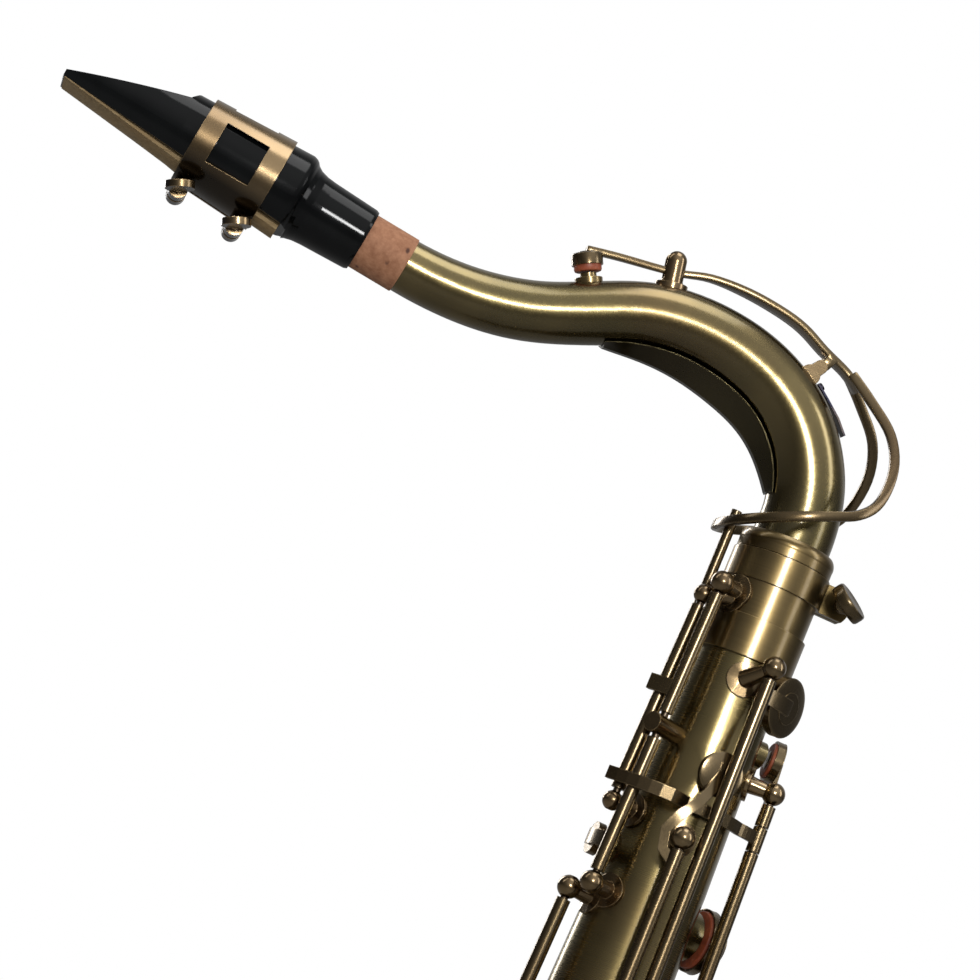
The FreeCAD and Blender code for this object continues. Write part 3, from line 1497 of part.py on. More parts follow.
def key_posts():
    """Posts of every rod. Those whose bases meet are one solid."""
    posts = {"stop": stop_post().cut(rod_run("rocker"))}
    for name, (angle, top_share, bottom_share) in rod_lines.items():
        ball = post_ball_radius * small_ball_share if name == "pin" else post_ball_radius
        top = top_share - post_offset_share
        bottom = bottom_share + post_offset_share
        base_angle, base_share = leaning_posts.get(name, (angle, top))
        run = rod_run(name)
        posts[name + " top"] = post(angle, top, base_angle, base_share, ball).cut(run)
        posts[name + " bottom"] = post(angle, bottom, angle, bottom, ball).cut(run)
        if name in sprung_lines:
            posts[name + " top"] = posts[name + " top"].cut(needle(name))
    obstacles = chimneys_filled() + [ring_space()]
    for name in posts:
        near = [shape for shape in obstacles if shape.BoundBox.intersect(posts[name].BoundBox)]
        if near:
            posts[name] = posts[name].cut(near)
    for first, second in (("rocker top", "pin top"), ("rocker bottom", "thumb top")):
        posts[second] = posts[second].cut(posts[first])
    bell_posts = []
    skin = bell_filled(0.0)
    for name in bell_key_shares:
        top, bottom = bell_hinge(name)
        for end, way in ((top, 1.0), (bottom, -1.0)):
            centre = end + UP * (way * post_offset_share * tube_length)
            share = (centre.z + tube_length) / bell_length
            side = 1.0 if bell_key_shares[name][0] > 0 else -1.0
            angle = side * bell_hinge_angle
            foot = bell_point(angle, 0.0, share)
            run = centre - foot
            base = cylinder(foot - outward(angle) * post_base_thickness,
                            foot + outward(angle) * post_base_thickness,
                            post_base_radius * small_ball_share)
            stem = Part.makeCone(post_stem_radius * post_stem_spread, post_stem_radius,
                                 run.Length, foot, run)
            ball = Part.makeSphere(post_ball_radius, centre)
            reach = UP * (post_ball_radius * 2)
            bell_posts.append(fused([base, stem, ball])
                              .cut([cylinder(top + reach, bottom - reach, rod_radius), skin]))
    return list(posts.values()) + bell_posts


def key_springs():
    return [needle(name) for name in sprung_lines]


def hinge_rods():
    rods = [cylinder(*rod_ends(name), rod_radius) for name in rod_lines]
    for name in bell_key_shares:
        top, bottom = bell_hinge(name)
        reach = UP * (post_offset_share * tube_length)
        rods.append(cylinder(top + reach, bottom - reach, rod_radius))
    return rods


# Thumb rest, thumb hook, strap ring

def thumb_rest():
    z = along_tube(thumb_rest_share)
    core = Part.makeCone(tube_radius(z - thumb_disc_radius), tube_radius(z + thumb_disc_radius),
                         2 * thumb_disc_radius, Vector(0, 0, z - thumb_disc_radius))
    top = on_tube(back_angle, thumb_rest_height, z)
    stem = cylinder(on_tube(back_angle, -post_base_thickness, z), top,
                    thumb_disc_radius * thumb_stem_share)
    button = cylinder(top, on_tube(back_angle, thumb_rest_height + pearl_thickness * 2, z),
                      thumb_disc_radius)
    return fused([stem, button]).cut(core)


# Curve of the hook: share of its height behind the plate, and of its curl downwards
thumb_hook_shares = ((0.0, 0.0), (0.45, -0.1), (0.85, 0.25), (1.0, 1.0))


def thumb_hook():
    """Hook for the right thumb, on its plate."""
    z = along_tube(thumb_hook_share)
    surface = tube_radius(z)
    plate = cylinder(on_tube(back_angle, -surface / 2, z), on_tube(back_angle, arm_thickness, z),
                     thumb_hook_width * thumb_hook_plate_share)
    core = Part.makeCone(tube_radius(z - thumb_hook_width), tube_radius(z + thumb_hook_width),
                         2 * thumb_hook_width, Vector(0, 0, z - thumb_hook_width))
    plate = plate.cut(core)
    start = on_tube(back_angle, arm_thickness / 2, z)
    back = Vector(-1, 0, 0)
    points = [start + back * (thumb_hook_height * reach) - UP * (thumb_hook_curl * drop)
              for reach, drop in thumb_hook_shares]
    hook = ribbon(points, thumb_hook_width, thumb_hook_thickness, [UP, UP, UP + back, back])
    return fused([plate, hook]).cut(core)


def strap_ring():
    """Flat ring that the strap's hook goes through, on a foot."""
    centre = strap_ring_centre()
    half = ACROSS * (strap_ring_thickness / 2)
    ring = cylinder(centre - half, centre + half, strap_hole_radius + strap_ring_width)
    z = centre.z
    foot = cylinder(on_tube(back_angle, -tube_wall, z), on_tube(back_angle, arm_thickness, z),
                    post_base_radius * strap_foot_share)
    neck = ribbon([on_tube(back_angle, rise, z) for rise in (0.0, arm_thickness, strap_ring_width)],
                  post_base_radius * 2, strap_ring_thickness, [ACROSS] * 3)
    high = z + 2 * post_base_radius
    low = z - 2 * post_base_radius
    core = Part.makeCone(tube_radius(low), tube_radius(high), high - low, Vector(0, 0, low))
    hole = cylinder(centre - half * 2, centre + half * 2, strap_hole_radius)
    return fused([ring, foot, neck]).cut(core).cut(hole)


# Guards over the open cups of the bell and the bow

def guard_bar(points):
    pieces = []
    for start, end in zip(points, points[1:]):
        pieces.append(cylinder(start, end, guard_wire_radius))
        pieces.append(Part.makeSphere(guard_wire_radius, end))
    return pieces


def bell_guards():
    """Wire guard and felt of each open cup on the bell."""
    guards = []
    felts = []
    for name in ("low_b_key", "low_b_flat_key"):
        angle, share, radius_share = bell_key_shares[name]
        radius = radius_share * bell_length + guard_margin
        angle -= guard_lean
        reach = radius / bell_length
        shoulder = reach * guard_shoulder_share
        feet = [bell_point(angle, -tube_wall / 2, share + reach),
                bell_point(angle, -tube_wall / 2, share - reach)]
        high = bell_point(angle, guard_rise, share + shoulder)
        low = bell_point(angle, guard_rise, share - shoulder)
        level = max((high - Vector(bell_distance, 0, high.z)).Length,
                    (low - Vector(bell_distance, 0, low.z)).Length)
        high = Vector(bell_distance, 0, high.z) + outward(angle) * level
        low = Vector(bell_distance, 0, low.z) + outward(angle) * level
        bar = fused(guard_bar([feet[0], high, low, feet[1]])).cut(bell_filled(0.0))
        guards.append(bar)
        middle = (high + low) / 2
        felt_back = middle - outward(angle) * (guard_wire_radius * guard_felt_sink_share)
        felt_face = felt_back - outward(angle) * felt_thickness
        felts.append(cylinder(felt_face, felt_back, felt_radius).cut(bar))
    return guards, felts

# Export

def put(name, shapes):
    """Write one sub-part, moved so that the strap ring's hole is the origin."""
    solids = shapes if isinstance(shapes, list) else [shapes]
    flat = []
    for shape in solids:
        flat.extend(shape.Solids)
    group = flat[0] if len(flat) == 1 else Part.makeCompound(flat)
    group = group.copy()
    group.translate(strap_ring_centre() * -1.0)
    group.exportStep("parts/" + name + ".step")
    box = group.BoundBox
    print(name, len(flat), "solids", [round(value, 1) for value in
          (box.XMin, box.YMin, box.ZMin, box.XMax, box.YMax, box.ZMax)], group.isValid())


def strap_ring_centre():
    z = along_tube(strap_ring_place_share)
    return Vector(-tube_radius(z) - strap_hole_radius - strap_ring_width - end_gap, 0, z)


put("body_tube", body_tube())
put("body_bow", body_bow())
put("bell", bell())
put("body_rings", [receiver_ring()] + bow_ferrules())
put("bell_brace", bell_brace())
put("neck_receiver", neck_receiver())
put("neck_clamp", neck_clamp())
put("neck_screw", neck_screw())
put("neck_tube", neck_tube())
put("neck_collar", neck_collar())
put("neck_octave_pip", neck_pip())
put("neck_brace", neck_brace())
put("neck_cork", neck_cork())
put("mouthpiece", mouthpiece())
put("reed", reed())
put("ligature", ligature())
for screw_name, screw_z in zip(("ligature_screw_front", "ligature_screw_rear"),
                               ligature_screw_places()):
    put(screw_name, ligature_screw(screw_z))
for key_name in key_shares:
    put(key_name, key(key_name))
guards, felts = bell_guards()
put("neck_octave_key", list(neck_octave_pieces()))
put("neck_key_saddle", neck_key_saddle() + [neck_key_guide()])
put("neck_key_spring", neck_key_spring())
put("octave_pin", octave_pin())
put("octave_rocker", octave_rocker())
put("body_octave_key", body_octave_key())
put("thumb_octave_lever", thumb_octave_lever())
put("octave_link", octave_link())
put("low_c_key", low_c_key())
for key_name in bell_key_shares:
    put(key_name, bell_key(key_name))
for lever_name in table_shares:
    put(lever_name, table_lever(lever_name))
put("key_posts", key_posts())
put("hinge_rods", hinge_rods())
put("key_springs", key_springs())
put("thumb_rest_and_hook", [thumb_rest(), thumb_hook()])
put("strap_ring", strap_ring())
put("key_guards", guards)
put("guard_felts", felts)
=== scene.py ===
# %% [markdown]
# # Tenor saxophone
# The imported CAD model is the fixed frame: it already holds every tube, key, rod and post in its
# place. This file dresses it. Where the CAD shape is right it only gets a better finish, and where
# the eye comes close (pads, cups, the octave keys, the neck's cork and thumbscrew, the felts) a
# finer piece takes its place and rides on the same body, so that the keys still move.

# %% Load the frame
import json
import math

import bmesh
import bpy
from mathutils import Matrix, Vector


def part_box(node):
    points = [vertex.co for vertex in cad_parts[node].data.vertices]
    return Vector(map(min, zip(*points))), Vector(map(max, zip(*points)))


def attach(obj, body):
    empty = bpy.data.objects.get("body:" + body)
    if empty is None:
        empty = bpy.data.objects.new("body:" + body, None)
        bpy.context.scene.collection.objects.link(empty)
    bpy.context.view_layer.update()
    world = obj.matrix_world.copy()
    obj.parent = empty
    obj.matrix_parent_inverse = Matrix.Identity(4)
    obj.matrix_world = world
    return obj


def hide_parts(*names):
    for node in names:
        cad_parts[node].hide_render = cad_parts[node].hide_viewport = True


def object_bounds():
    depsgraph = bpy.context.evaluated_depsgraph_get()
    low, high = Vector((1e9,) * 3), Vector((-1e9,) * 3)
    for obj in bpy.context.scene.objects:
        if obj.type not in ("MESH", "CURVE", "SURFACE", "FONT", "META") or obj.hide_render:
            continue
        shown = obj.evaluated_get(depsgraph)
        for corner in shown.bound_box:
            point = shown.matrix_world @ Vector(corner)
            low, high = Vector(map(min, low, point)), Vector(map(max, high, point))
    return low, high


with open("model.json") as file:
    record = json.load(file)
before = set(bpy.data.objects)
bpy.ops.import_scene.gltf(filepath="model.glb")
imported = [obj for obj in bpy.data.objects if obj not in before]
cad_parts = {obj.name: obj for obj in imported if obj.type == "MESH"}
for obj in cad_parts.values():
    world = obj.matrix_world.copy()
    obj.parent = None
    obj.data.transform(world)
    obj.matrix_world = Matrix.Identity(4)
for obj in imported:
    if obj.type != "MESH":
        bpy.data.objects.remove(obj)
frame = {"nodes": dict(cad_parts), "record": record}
cad_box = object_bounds()

# %% [markdown]
# Small pieces are given in millimetres. The camera and the lamps are laid out round the top of
# the neck clamp, in the middle of what the picture shows. The clamp's own box says where that
# place lies, so nothing has to be fitted by hand.

# %% The middle of the picture
MM = 0.001
CLAMP_RADIUS = 16.1 * MM
clamp_low, clamp_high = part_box("neck_clamp")
TOP = Vector((clamp_low.x + CLAMP_RADIUS, 0.0, clamp_high.z))
print("top of the neck clamp:", [round(value, 4) for value in TOP])

# %% [markdown]
# The camera comes first, because it decides what has to be good. The picture is taken from the
# player's right, a little from below and rolled, with a long lens. The view is written as angles
# round the clamp and the distance from it, and turned into the camera's three axes.

# %% Camera
VIEW_AZIMUTH, VIEW_ELEVATION, VIEW_ROLL = -6.9, -9.71, 23.09
VIEW_DISTANCE, VIEW_RIGHT, VIEW_UP = 1.1, -0.0935, -0.0142
LENS, SENSOR = 128.72, 36.0


def view_axes(azimuth, elevation, roll):
    """The camera's right, up and backward directions."""
    turn, rise, lean = (math.radians(value) for value in (azimuth, elevation, roll))
    back = Vector((math.sin(turn) * math.cos(rise), -math.cos(turn) * math.cos(rise),
                   math.sin(rise)))
    right = Vector((0, 0, 1)).cross(back).normalized()
    up = back.cross(right)
    return right, up, back, right * math.cos(lean) + up * math.sin(lean), \
        up * math.cos(lean) - right * math.sin(lean)


right, up, back, tilted_right, tilted_up = view_axes(VIEW_AZIMUTH, VIEW_ELEVATION, VIEW_ROLL)
camera_data = bpy.data.cameras.new("photo_camera")
camera_data.lens = LENS
camera_data.sensor_width = SENSOR
camera_data.clip_start = 0.01
camera = bpy.data.objects.new("photo_camera", camera_data)
bpy.context.collection.objects.link(camera)
place = TOP + right * VIEW_RIGHT + up * VIEW_UP + back * VIEW_DISTANCE
camera.matrix_world = Matrix.Translation(place) @ Matrix(
    (tilted_right, tilted_up, back)).transposed().to_4x4()
bpy.context.scene.camera = camera
bpy.context.scene.view_settings.view_transform = "Standard"
print("camera at", [round(value, 3) for value in place])

# %% [markdown]
# ## Light
# Brass looks like what it reflects. A small soft box near the camera draws the narrow bright line
# along the middle of every tube, bent or straight, and weak ones above and at the sides fill the
# gold beside it. A tall one behind gives the back views the same line. The world is white for the
# camera, and for gloss it falls off to grey on one side, as the walls of a studio do: without a
# darker side the tubes would look like paper.

# %% Lights and world
LAMPS = {
    # name: (azimuth, elevation, distance, width, height, power)
    "key_front": (-2.0, 9.5, 1.5, 0.3, 0.2, 9.0),
    "box_right": (60.0, 26.0, 1.6, 0.3, 1.3, 4.4),
    "box_left": (-88.0, 35.0, 1.6, 0.3, 1.2, 2.6),
    "key_back": (208.0, 14.0, 1.7, 0.3, 0.9, 8.0),
    "box_above": (-10.0, 78.0, 1.5, 0.7, 0.9, 5.0),
}
for lamp_name, (azimuth, elevation, distance, width, height, power) in LAMPS.items():
    lamp_data = bpy.data.lights.new(lamp_name, "AREA")
    lamp_data.shape = "RECTANGLE"
    lamp_data.size, lamp_data.size_y, lamp_data.energy = width, height, power
    lamp = bpy.data.objects.new(lamp_name, lamp_data)
    bpy.context.collection.objects.link(lamp)
    side, rise, away, _, _ = view_axes(azimuth, elevation, 0.0)
    lamp.matrix_world = Matrix.Translation(TOP + away * distance) @ Matrix(
        (side, rise, away)).transposed().to_4x4()

world = bpy.data.worlds.new("studio")
bpy.context.scene.world = world
world.use_nodes = True
sky = world.node_tree
sky.nodes.clear()
link = sky.links.new
direction = sky.nodes.new("ShaderNodeTexCoord")
path = sky.nodes.new("ShaderNodeLightPath")
FRONT_WALL, BACK_WALL = (6.0, 42.0), (165.0, 30.0)
FRONT_GREYS = ((0.0, 0.05), (0.5, 0.065), (0.72, 0.15), (0.88, 0.36), (1.0, 0.75))
BACK_GREYS = ((0.76, 0.0), (0.96, 0.4))


def wall_light(toward, stops):
    """Grey of the studio walls as a gloss ray sees them, brighter towards one direction."""
    dot = sky.nodes.new("ShaderNodeVectorMath")
    dot.operation = "DOT_PRODUCT"
    dot.inputs[1].default_value = toward
    ramp = sky.nodes.new("ShaderNodeValToRGB")
    half = sky.nodes.new("ShaderNodeMapRange")
    half.inputs["From Min"].default_value = -1.0
    first, last = ramp.color_ramp.elements
    first.position, last.position = stops[0][0], stops[-1][0]
    first.color, last.color = ((grey, grey, grey, 1) for grey in (stops[0][1], stops[-1][1]))
    for position, grey in stops[1:-1]:
        ramp.color_ramp.elements.new(position).color = (grey, grey, grey, 1)
    link(direction.outputs["Generated"], dot.inputs[0])
    link(dot.outputs["Value"], half.inputs["Value"])
    link(half.outputs["Result"], ramp.inputs["Fac"])
    return ramp.outputs["Color"]


front_wall = wall_light(view_axes(*FRONT_WALL, 0.0)[2], FRONT_GREYS)
back_wall = wall_light(view_axes(*BACK_WALL, 0.0)[2], BACK_GREYS)
walls = sky.nodes.new("ShaderNodeMix")
walls.data_type = "RGBA"
walls.blend_type = "LIGHTEN"
walls.inputs[0].default_value = 1.0
seen = sky.nodes.new("ShaderNodeBackground")
gloss = sky.nodes.new("ShaderNodeBackground")
ambient = sky.nodes.new("ShaderNodeBackground")
seen.inputs["Color"].default_value = (1, 1, 1, 1)
ambient.inputs["Color"].default_value = (1, 0.99, 0.97, 1)
ambient.inputs["Strength"].default_value = 0.5
gloss_or_glass = sky.nodes.new("ShaderNodeMath")
gloss_or_glass.operation = "MAXIMUM"
mix_gloss = sky.nodes.new("ShaderNodeMixShader")
mix_seen = sky.nodes.new("ShaderNodeMixShader")
sky_out = sky.nodes.new("ShaderNodeOutputWorld")
link(front_wall, walls.inputs[6])
link(back_wall, walls.inputs[7])
link(walls.outputs[2], gloss.inputs["Color"])
link(path.outputs["Is Glossy Ray"], gloss_or_glass.inputs[0])
link(path.outputs["Is Transmission Ray"], gloss_or_glass.inputs[1])
link(gloss_or_glass.outputs[0], mix_gloss.inputs["Fac"])
link(ambient.outputs[0], mix_gloss.inputs[1])
link(gloss.outputs[0], mix_gloss.inputs[2])
link(path.outputs["Is Camera Ray"], mix_seen.inputs["Fac"])
link(mix_gloss.outputs[0], mix_seen.inputs[1])
link(seen.outputs[0], mix_seen.inputs[2])
link(mix_seen.outputs[0], sky_out.inputs["Surface"])
print("lamps:", len(LAMPS))

# %% [markdown]
# ## Shared effects
# Two effects turn up in every metal of this instrument, so each is a node group that is built
# once. `antique_brush` is the satin of a brushed tube under tinted lacquer: long fine strokes,
# broad patches where the brown tint lies thicker. `worn_edges` rounds an edge for the eye and
# says where edges are, because fingers polish the tint off them.

# %% Helpers for node groups
def new_group(name, inputs, outputs):
    """A shader group with its sockets, and its input and output nodes."""
    group = bpy.data.node_groups.new(name, "ShaderNodeTree")
    for socket, kind, value in inputs:
        item = group.interface.new_socket(socket, in_out="INPUT", socket_type=kind)
        item.default_value = value
    for socket, kind in outputs:
        group.interface.new_socket(socket, in_out="OUTPUT", socket_type=kind)
    return group, group.nodes.new("NodeGroupInput"), group.nodes.new("NodeGroupOutput")


def maths(tree, operation, first, second=None, third=None):
    """One Math node; a number or a socket for each of its inputs."""
    node = tree.nodes.new("ShaderNodeMath")
    node.operation = operation
    for index, value in enumerate((first, second, third)):
        if isinstance(value, (int, float)):
            node.inputs[index].default_value = value
        elif value is not None:
            tree.links.new(value, node.inputs[index])
    return node.outputs[0]


def noise(tree, coordinates, scale, detail=3.0, roughness=0.55):
    """The grey value of a noise."""
    node = tree.nodes.new("ShaderNodeTexNoise")
    node.inputs["Scale"].default_value = scale
    node.inputs["Detail"].default_value = detail
    node.inputs["Roughness"].default_value = roughness
    tree.links.new(coordinates, node.inputs["Vector"])
    return node.outputs["Fac"]


def stretched(tree, coordinates, scale):
    """Coordinates multiplied along each axis, by numbers or by a socket."""
    node = tree.nodes.new("ShaderNodeVectorMath")
    node.operation = "MULTIPLY"
    tree.links.new(coordinates, node.inputs[0])
    if isinstance(scale, (tuple, list)):
        node.inputs[1].default_value = scale
    else:
        tree.links.new(scale, node.inputs[1])
    return node.outputs[0]


def ranged(tree, value, low, high, new_low=0.0, new_high=1.0):
    """A value taken from one range to another and kept inside it."""
    node = tree.nodes.new("ShaderNodeMapRange")
    tree.links.new(value, node.inputs["Value"])
    for socket, number in (("From Min", low), ("From Max", high), ("To Min", new_low),
                           ("To Max", new_high)):
        if isinstance(number, (int, float)):
            node.inputs[socket].default_value = number
        else:
            tree.links.new(number, node.inputs[socket])
    return node.outputs["Result"]


def blended(tree, factor, first, second, way="MIX"):
    """Two colours mixed by a factor."""
    node = tree.nodes.new("ShaderNodeMix")
    node.data_type = "RGBA"
    node.blend_type = way
    for socket, value in ((node.inputs[0], factor), (node.inputs[6], first),
                          (node.inputs[7], second)):
        if isinstance(value, (int, float)):
            socket.default_value = value
        elif isinstance(value, (tuple, list)):
            socket.default_value = (*value, 1.0)
        else:
            tree.links.new(value, socket)
    return node.outputs[2]


# %% The brushed antique finish
brush_group, given, made = new_group(
    "antique_brush",
    [("Coordinates", "NodeSocketVector", (0, 0, 0)), ("Stroke", "NodeSocketVector", (60, 60, 2200)),
     ("Light", "NodeSocketColor", (0.5, 0.4, 0.22, 1)),
     ("Dark", "NodeSocketColor", (0.2, 0.15, 0.07, 1)),
     ("Tint", "NodeSocketColor", (0.35, 0.2, 0.1, 1)), ("Satin", "NodeSocketFloat", 0.3),
     ("Contrast", "NodeSocketFloat", 0.1)],
    [("Color", "NodeSocketColor"), ("Roughness", "NodeSocketFloat"), ("Height", "NodeSocketFloat")])
tree = brush_group
object_place = tree.nodes.new("ShaderNodeTexCoord").outputs["Object"]
strokes = noise(tree, stretched(tree, given.outputs["Coordinates"], given.outputs["Stroke"]),
                1.0, 5.0, 0.65)
patches = noise(tree, object_place, 26.0, 2.0, 0.45)
clouds = noise(tree, object_place, 85.0, 2.0, 0.5)
tinted = noise(tree, object_place, 17.0, 2.0, 0.5)
ground = blended(tree, ranged(tree, patches, 0.38, 0.64), given.outputs["Dark"],
                 given.outputs["Light"])
ground = blended(tree, ranged(tree, tinted, 0.5, 0.72, 0.0, 0.55), ground, given.outputs["Tint"])
stroke_swing = ranged(tree, strokes, 0.3, 0.7, -1.0, 1.0)
stroke_level = maths(tree, "MULTIPLY_ADD", stroke_swing, given.outputs["Contrast"], 1.0)
cloud_level = ranged(tree, clouds, 0.3, 0.7, 0.93, 1.05)
level = tree.nodes.new("ShaderNodeCombineColor")
for channel in range(3):
    tree.links.new(maths(tree, "MULTIPLY", stroke_level, cloud_level), level.inputs[channel])
tree.links.new(blended(tree, 1.0, ground, level.outputs[0], "MULTIPLY"), made.inputs["Color"])
rough = maths(tree, "ADD", given.outputs["Satin"], ranged(tree, strokes, 0.3, 0.7, -0.03, 0.04))
tree.links.new(maths(tree, "ADD", rough, ranged(tree, patches, 0.35, 0.65, 0.05, -0.03)),
               made.inputs["Roughness"])
tree.links.new(strokes, made.inputs["Height"])
print("group:", brush_group.name)

# %% Edges polished by use
edge_group, given, made = new_group(
    "worn_edges", [("Radius", "NodeSocketFloat", 0.0004)],
    [("Normal", "NodeSocketVector"), ("Wear", "NodeSocketFloat")])
tree = edge_group
rounding = tree.nodes.new("ShaderNodeBevel")
rounding.samples = 4
tree.links.new(given.outputs["Radius"], rounding.inputs["Radius"])
flat = tree.nodes.new("ShaderNodeNewGeometry")
agree = tree.nodes.new("ShaderNodeVectorMath")
agree.operation = "DOT_PRODUCT"
tree.links.new(rounding.outputs[0], agree.inputs[0])
tree.links.new(flat.outputs["Normal"], agree.inputs[1])
scuffs = noise(tree, tree.nodes.new("ShaderNodeTexCoord").outputs["Object"], 260.0, 3.0)
worn = ranged(tree, agree.outputs["Value"], 0.995, 0.9)
tree.links.new(maths(tree, "MULTIPLY", worn, ranged(tree, scuffs, 0.35, 0.6)), made.inputs["Wear"])
tree.links.new(rounding.outputs[0], made.inputs["Normal"])
print("group:", edge_group.name)

# %% [markdown]
# ## Finishes
# One function makes every brass of the instrument from the two groups. What differs is the
# direction of the brush, how polished the piece is, how brown its lacquer, and how dark the shade
# painted on its side away from the lamps. The stroke is given as waves per metre along X, Y and
# Z: turned rings are brushed round, so their strokes are short along Z and long across it.

# %% Brass
def new_material(name):
    """An empty material with its Principled shader."""
    material = bpy.data.materials.new(name)
    material.use_nodes = True
    return material, material.node_tree, material.node_tree.nodes["Principled BSDF"]


def group_node(tree, group, **values):
    """A group placed in a material, with its own values."""
    node = tree.nodes.new("ShaderNodeGroup")
    node.node_tree = group
    for socket, value in values.items():
        socket = socket.replace("_", " ")
        if isinstance(value, bpy.types.NodeSocket):
            tree.links.new(value, node.inputs[socket])
        else:
            node.inputs[socket].default_value = value
    return node


def bumped(tree, shader, height, strength, distance, normal=None):
    """Relief on a shader from a height."""
    bump = tree.nodes.new("ShaderNodeBump")
    bump.inputs["Strength"].default_value = strength
    bump.inputs["Distance"].default_value = distance
    tree.links.new(height, bump.inputs["Height"])
    if normal is not None:
        tree.links.new(normal, bump.inputs["Normal"])
    tree.links.new(bump.outputs[0], shader.inputs["Normal"])


WORN_BRIGHTER, WORN_SHARE = 2.4, 0.6
# direction of the lit side, and where the painted shade begins and where it is full along it
LIT_SIDE_WAY, LIT_FROM, SHADED_FROM = (0.6, 0.0, 0.8), 0.35, -0.45
LACQUER_ROUGHNESS, BRUSH_RELIEF, BRUSH_DEPTH = 0.14, 0.12, 0.00006


def brass(name, light, dark, tint, stroke, satin, contrast, lacquer=0.65, edge=0.0004,
          lit_side=LIT_SIDE_WAY, shade=0.5):
    """Antique brass: brushed ground, thin lacquer, edges worn bright, painted shade on the side
    turned away from the lamps.
    """
    material, tree, shader = new_material(name)
    coordinates = tree.nodes.new("ShaderNodeTexCoord").outputs["Object"]
    ground = group_node(tree, brush_group, Coordinates=coordinates, Stroke=stroke,
                        Light=(*light, 1), Dark=(*dark, 1), Tint=(*tint, 1), Satin=satin,
                        Contrast=contrast)
    edges = group_node(tree, edge_group, Radius=edge)
    bright = tuple(min(1.0, value * WORN_BRIGHTER) for value in light)
    wear = maths(tree, "MULTIPLY", edges.outputs["Wear"], WORN_SHARE)
    # painted shade: faces turned away from the given lit direction are multiplied darker by the
    # shade level, and the side turned towards it keeps its colour
    side = tree.nodes.new("ShaderNodeVectorMath")
    side.operation = "DOT_PRODUCT"
    side.inputs[1].default_value = lit_side
    tree.links.new(tree.nodes.new("ShaderNodeTexCoord").outputs["Normal"], side.inputs[0])
    painted_shade_mask = ranged(tree, side.outputs["Value"], LIT_FROM, SHADED_FROM)
    painted_shade_colour = blended(tree, 1.0, ground.outputs["Color"], (shade, shade * 0.96, shade * 0.86),
                      "MULTIPLY")
    painted_shade_ground = blended(tree, painted_shade_mask, ground.outputs["Color"], painted_shade_colour)
    tree.links.new(blended(tree, wear, painted_shade_ground, bright), shader.inputs["Base Color"])
    tree.links.new(ground.outputs["Roughness"], shader.inputs["Roughness"])
    shader.inputs["Metallic"].default_value = 1.0
    shader.inputs["Coat Weight"].default_value = lacquer
    shader.inputs["Coat Roughness"].default_value = LACQUER_ROUGHNESS
    bumped(tree, shader, ground.outputs["Height"], BRUSH_RELIEF, BRUSH_DEPTH,
           edges.outputs["Normal"])
    return material


TUBE_STROKE, NECK_STROKE, ROD_STROKE = (70, 70, 5200), (900, 2600, 900), (120, 120, 2500)
RING_STROKE, KEY_STROKE = (50, 50, 6500), (2600, 2600, 1500)
OLIVE_LIGHT, OLIVE_DARK, BROWN_TINT = (0.28, 0.215, 0.09), (0.17, 0.135, 0.054), (0.21, 0.13, 0.054)
# shade is the level of the painted shade on the darker side of each brass
tube_brass = brass("tube_brass", OLIVE_LIGHT, OLIVE_DARK, BROWN_TINT, TUBE_STROKE, 0.24, 0.035,
                   shade=0.92)
neck_brass = brass("neck_brass", OLIVE_LIGHT, OLIVE_DARK, BROWN_TINT, NECK_STROKE, 0.24, 0.03)
ring_brass = brass("ring_brass", (0.34, 0.245, 0.11), (0.23, 0.165, 0.07), (0.25, 0.15, 0.065),
                   RING_STROKE, 0.27, 0.08, 0.5, shade=0.7)
key_brass = brass("key_brass", (0.25, 0.185, 0.1), (0.155, 0.112, 0.056), (0.18, 0.11, 0.058),
                  KEY_STROKE, 0.23, 0.04, 0.4, shade=0.7)
post_brass = brass("post_brass", (0.33, 0.235, 0.125), (0.22, 0.155, 0.078), (0.24, 0.14, 0.07),
                   RING_STROKE, 0.2, 0.04, 0.5, shade=0.75)
rod_steel = brass("rod_steel", (0.13, 0.093, 0.06), (0.08, 0.057, 0.034), (0.1, 0.062, 0.038),
                  ROD_STROKE, 0.32, 0.05, 0.2)
# painted shade: the ligature's lower side is darkened almost to black (level 0.07), standing in for
# the shade beneath it
ligature_brass = brass("ligature_brass", (0.36, 0.25, 0.13), (0.24, 0.165, 0.08),
                       (0.25, 0.15, 0.08), KEY_STROKE, 0.24, 0.05, 0.5, 0.0004,
                       (0.35, -0.25, 0.9), 0.07)
# painted shade: a near-black brass for the neck brace, standing in for the shade under the neck
painted_shade_brass = brass("painted_shade_brass", (0.09, 0.074, 0.036), (0.05, 0.04, 0.018),
                    (0.06, 0.042, 0.02), KEY_STROKE, 0.26, 0.05, 0.3, 0.0006)
print("brasses:", [m.name for m in bpy.data.materials if "brass" in m.name])

# %% [markdown]
# The other finishes are small worlds of their own: blued spring steel, polished ebonite with the
# faint ripple of hand buffing, cane with long fibres, cork with its brown pores, pads of
# red-brown leather over felt, pressed red felt, and mother of pearl.

# %% Steel, ebonite, cane
def plain_finish(name, metallic, coat=0.0, coat_roughness=0.05):
    """A material, its tree, its shader and the place on the object."""
    material, tree, shader = new_material(name)
    shader.inputs["Metallic"].default_value = metallic
    shader.inputs["Coat Weight"].default_value = coat
    shader.inputs["Coat Roughness"].default_value = coat_roughness
    return material, tree, shader, tree.nodes.new("ShaderNodeTexCoord").outputs["Object"]


spring_steel, tree, shader, where = plain_finish("spring_steel", 1.0)
heat = noise(tree, where, 90.0, 3.0)
tree.links.new(blended(tree, ranged(tree, heat, 0.4, 0.6), (0.03, 0.03, 0.05), (0.1, 0.08, 0.07)),
               shader.inputs["Base Color"])
tree.links.new(ranged(tree, heat, 0.3, 0.7, 0.2, 0.38), shader.inputs["Roughness"])

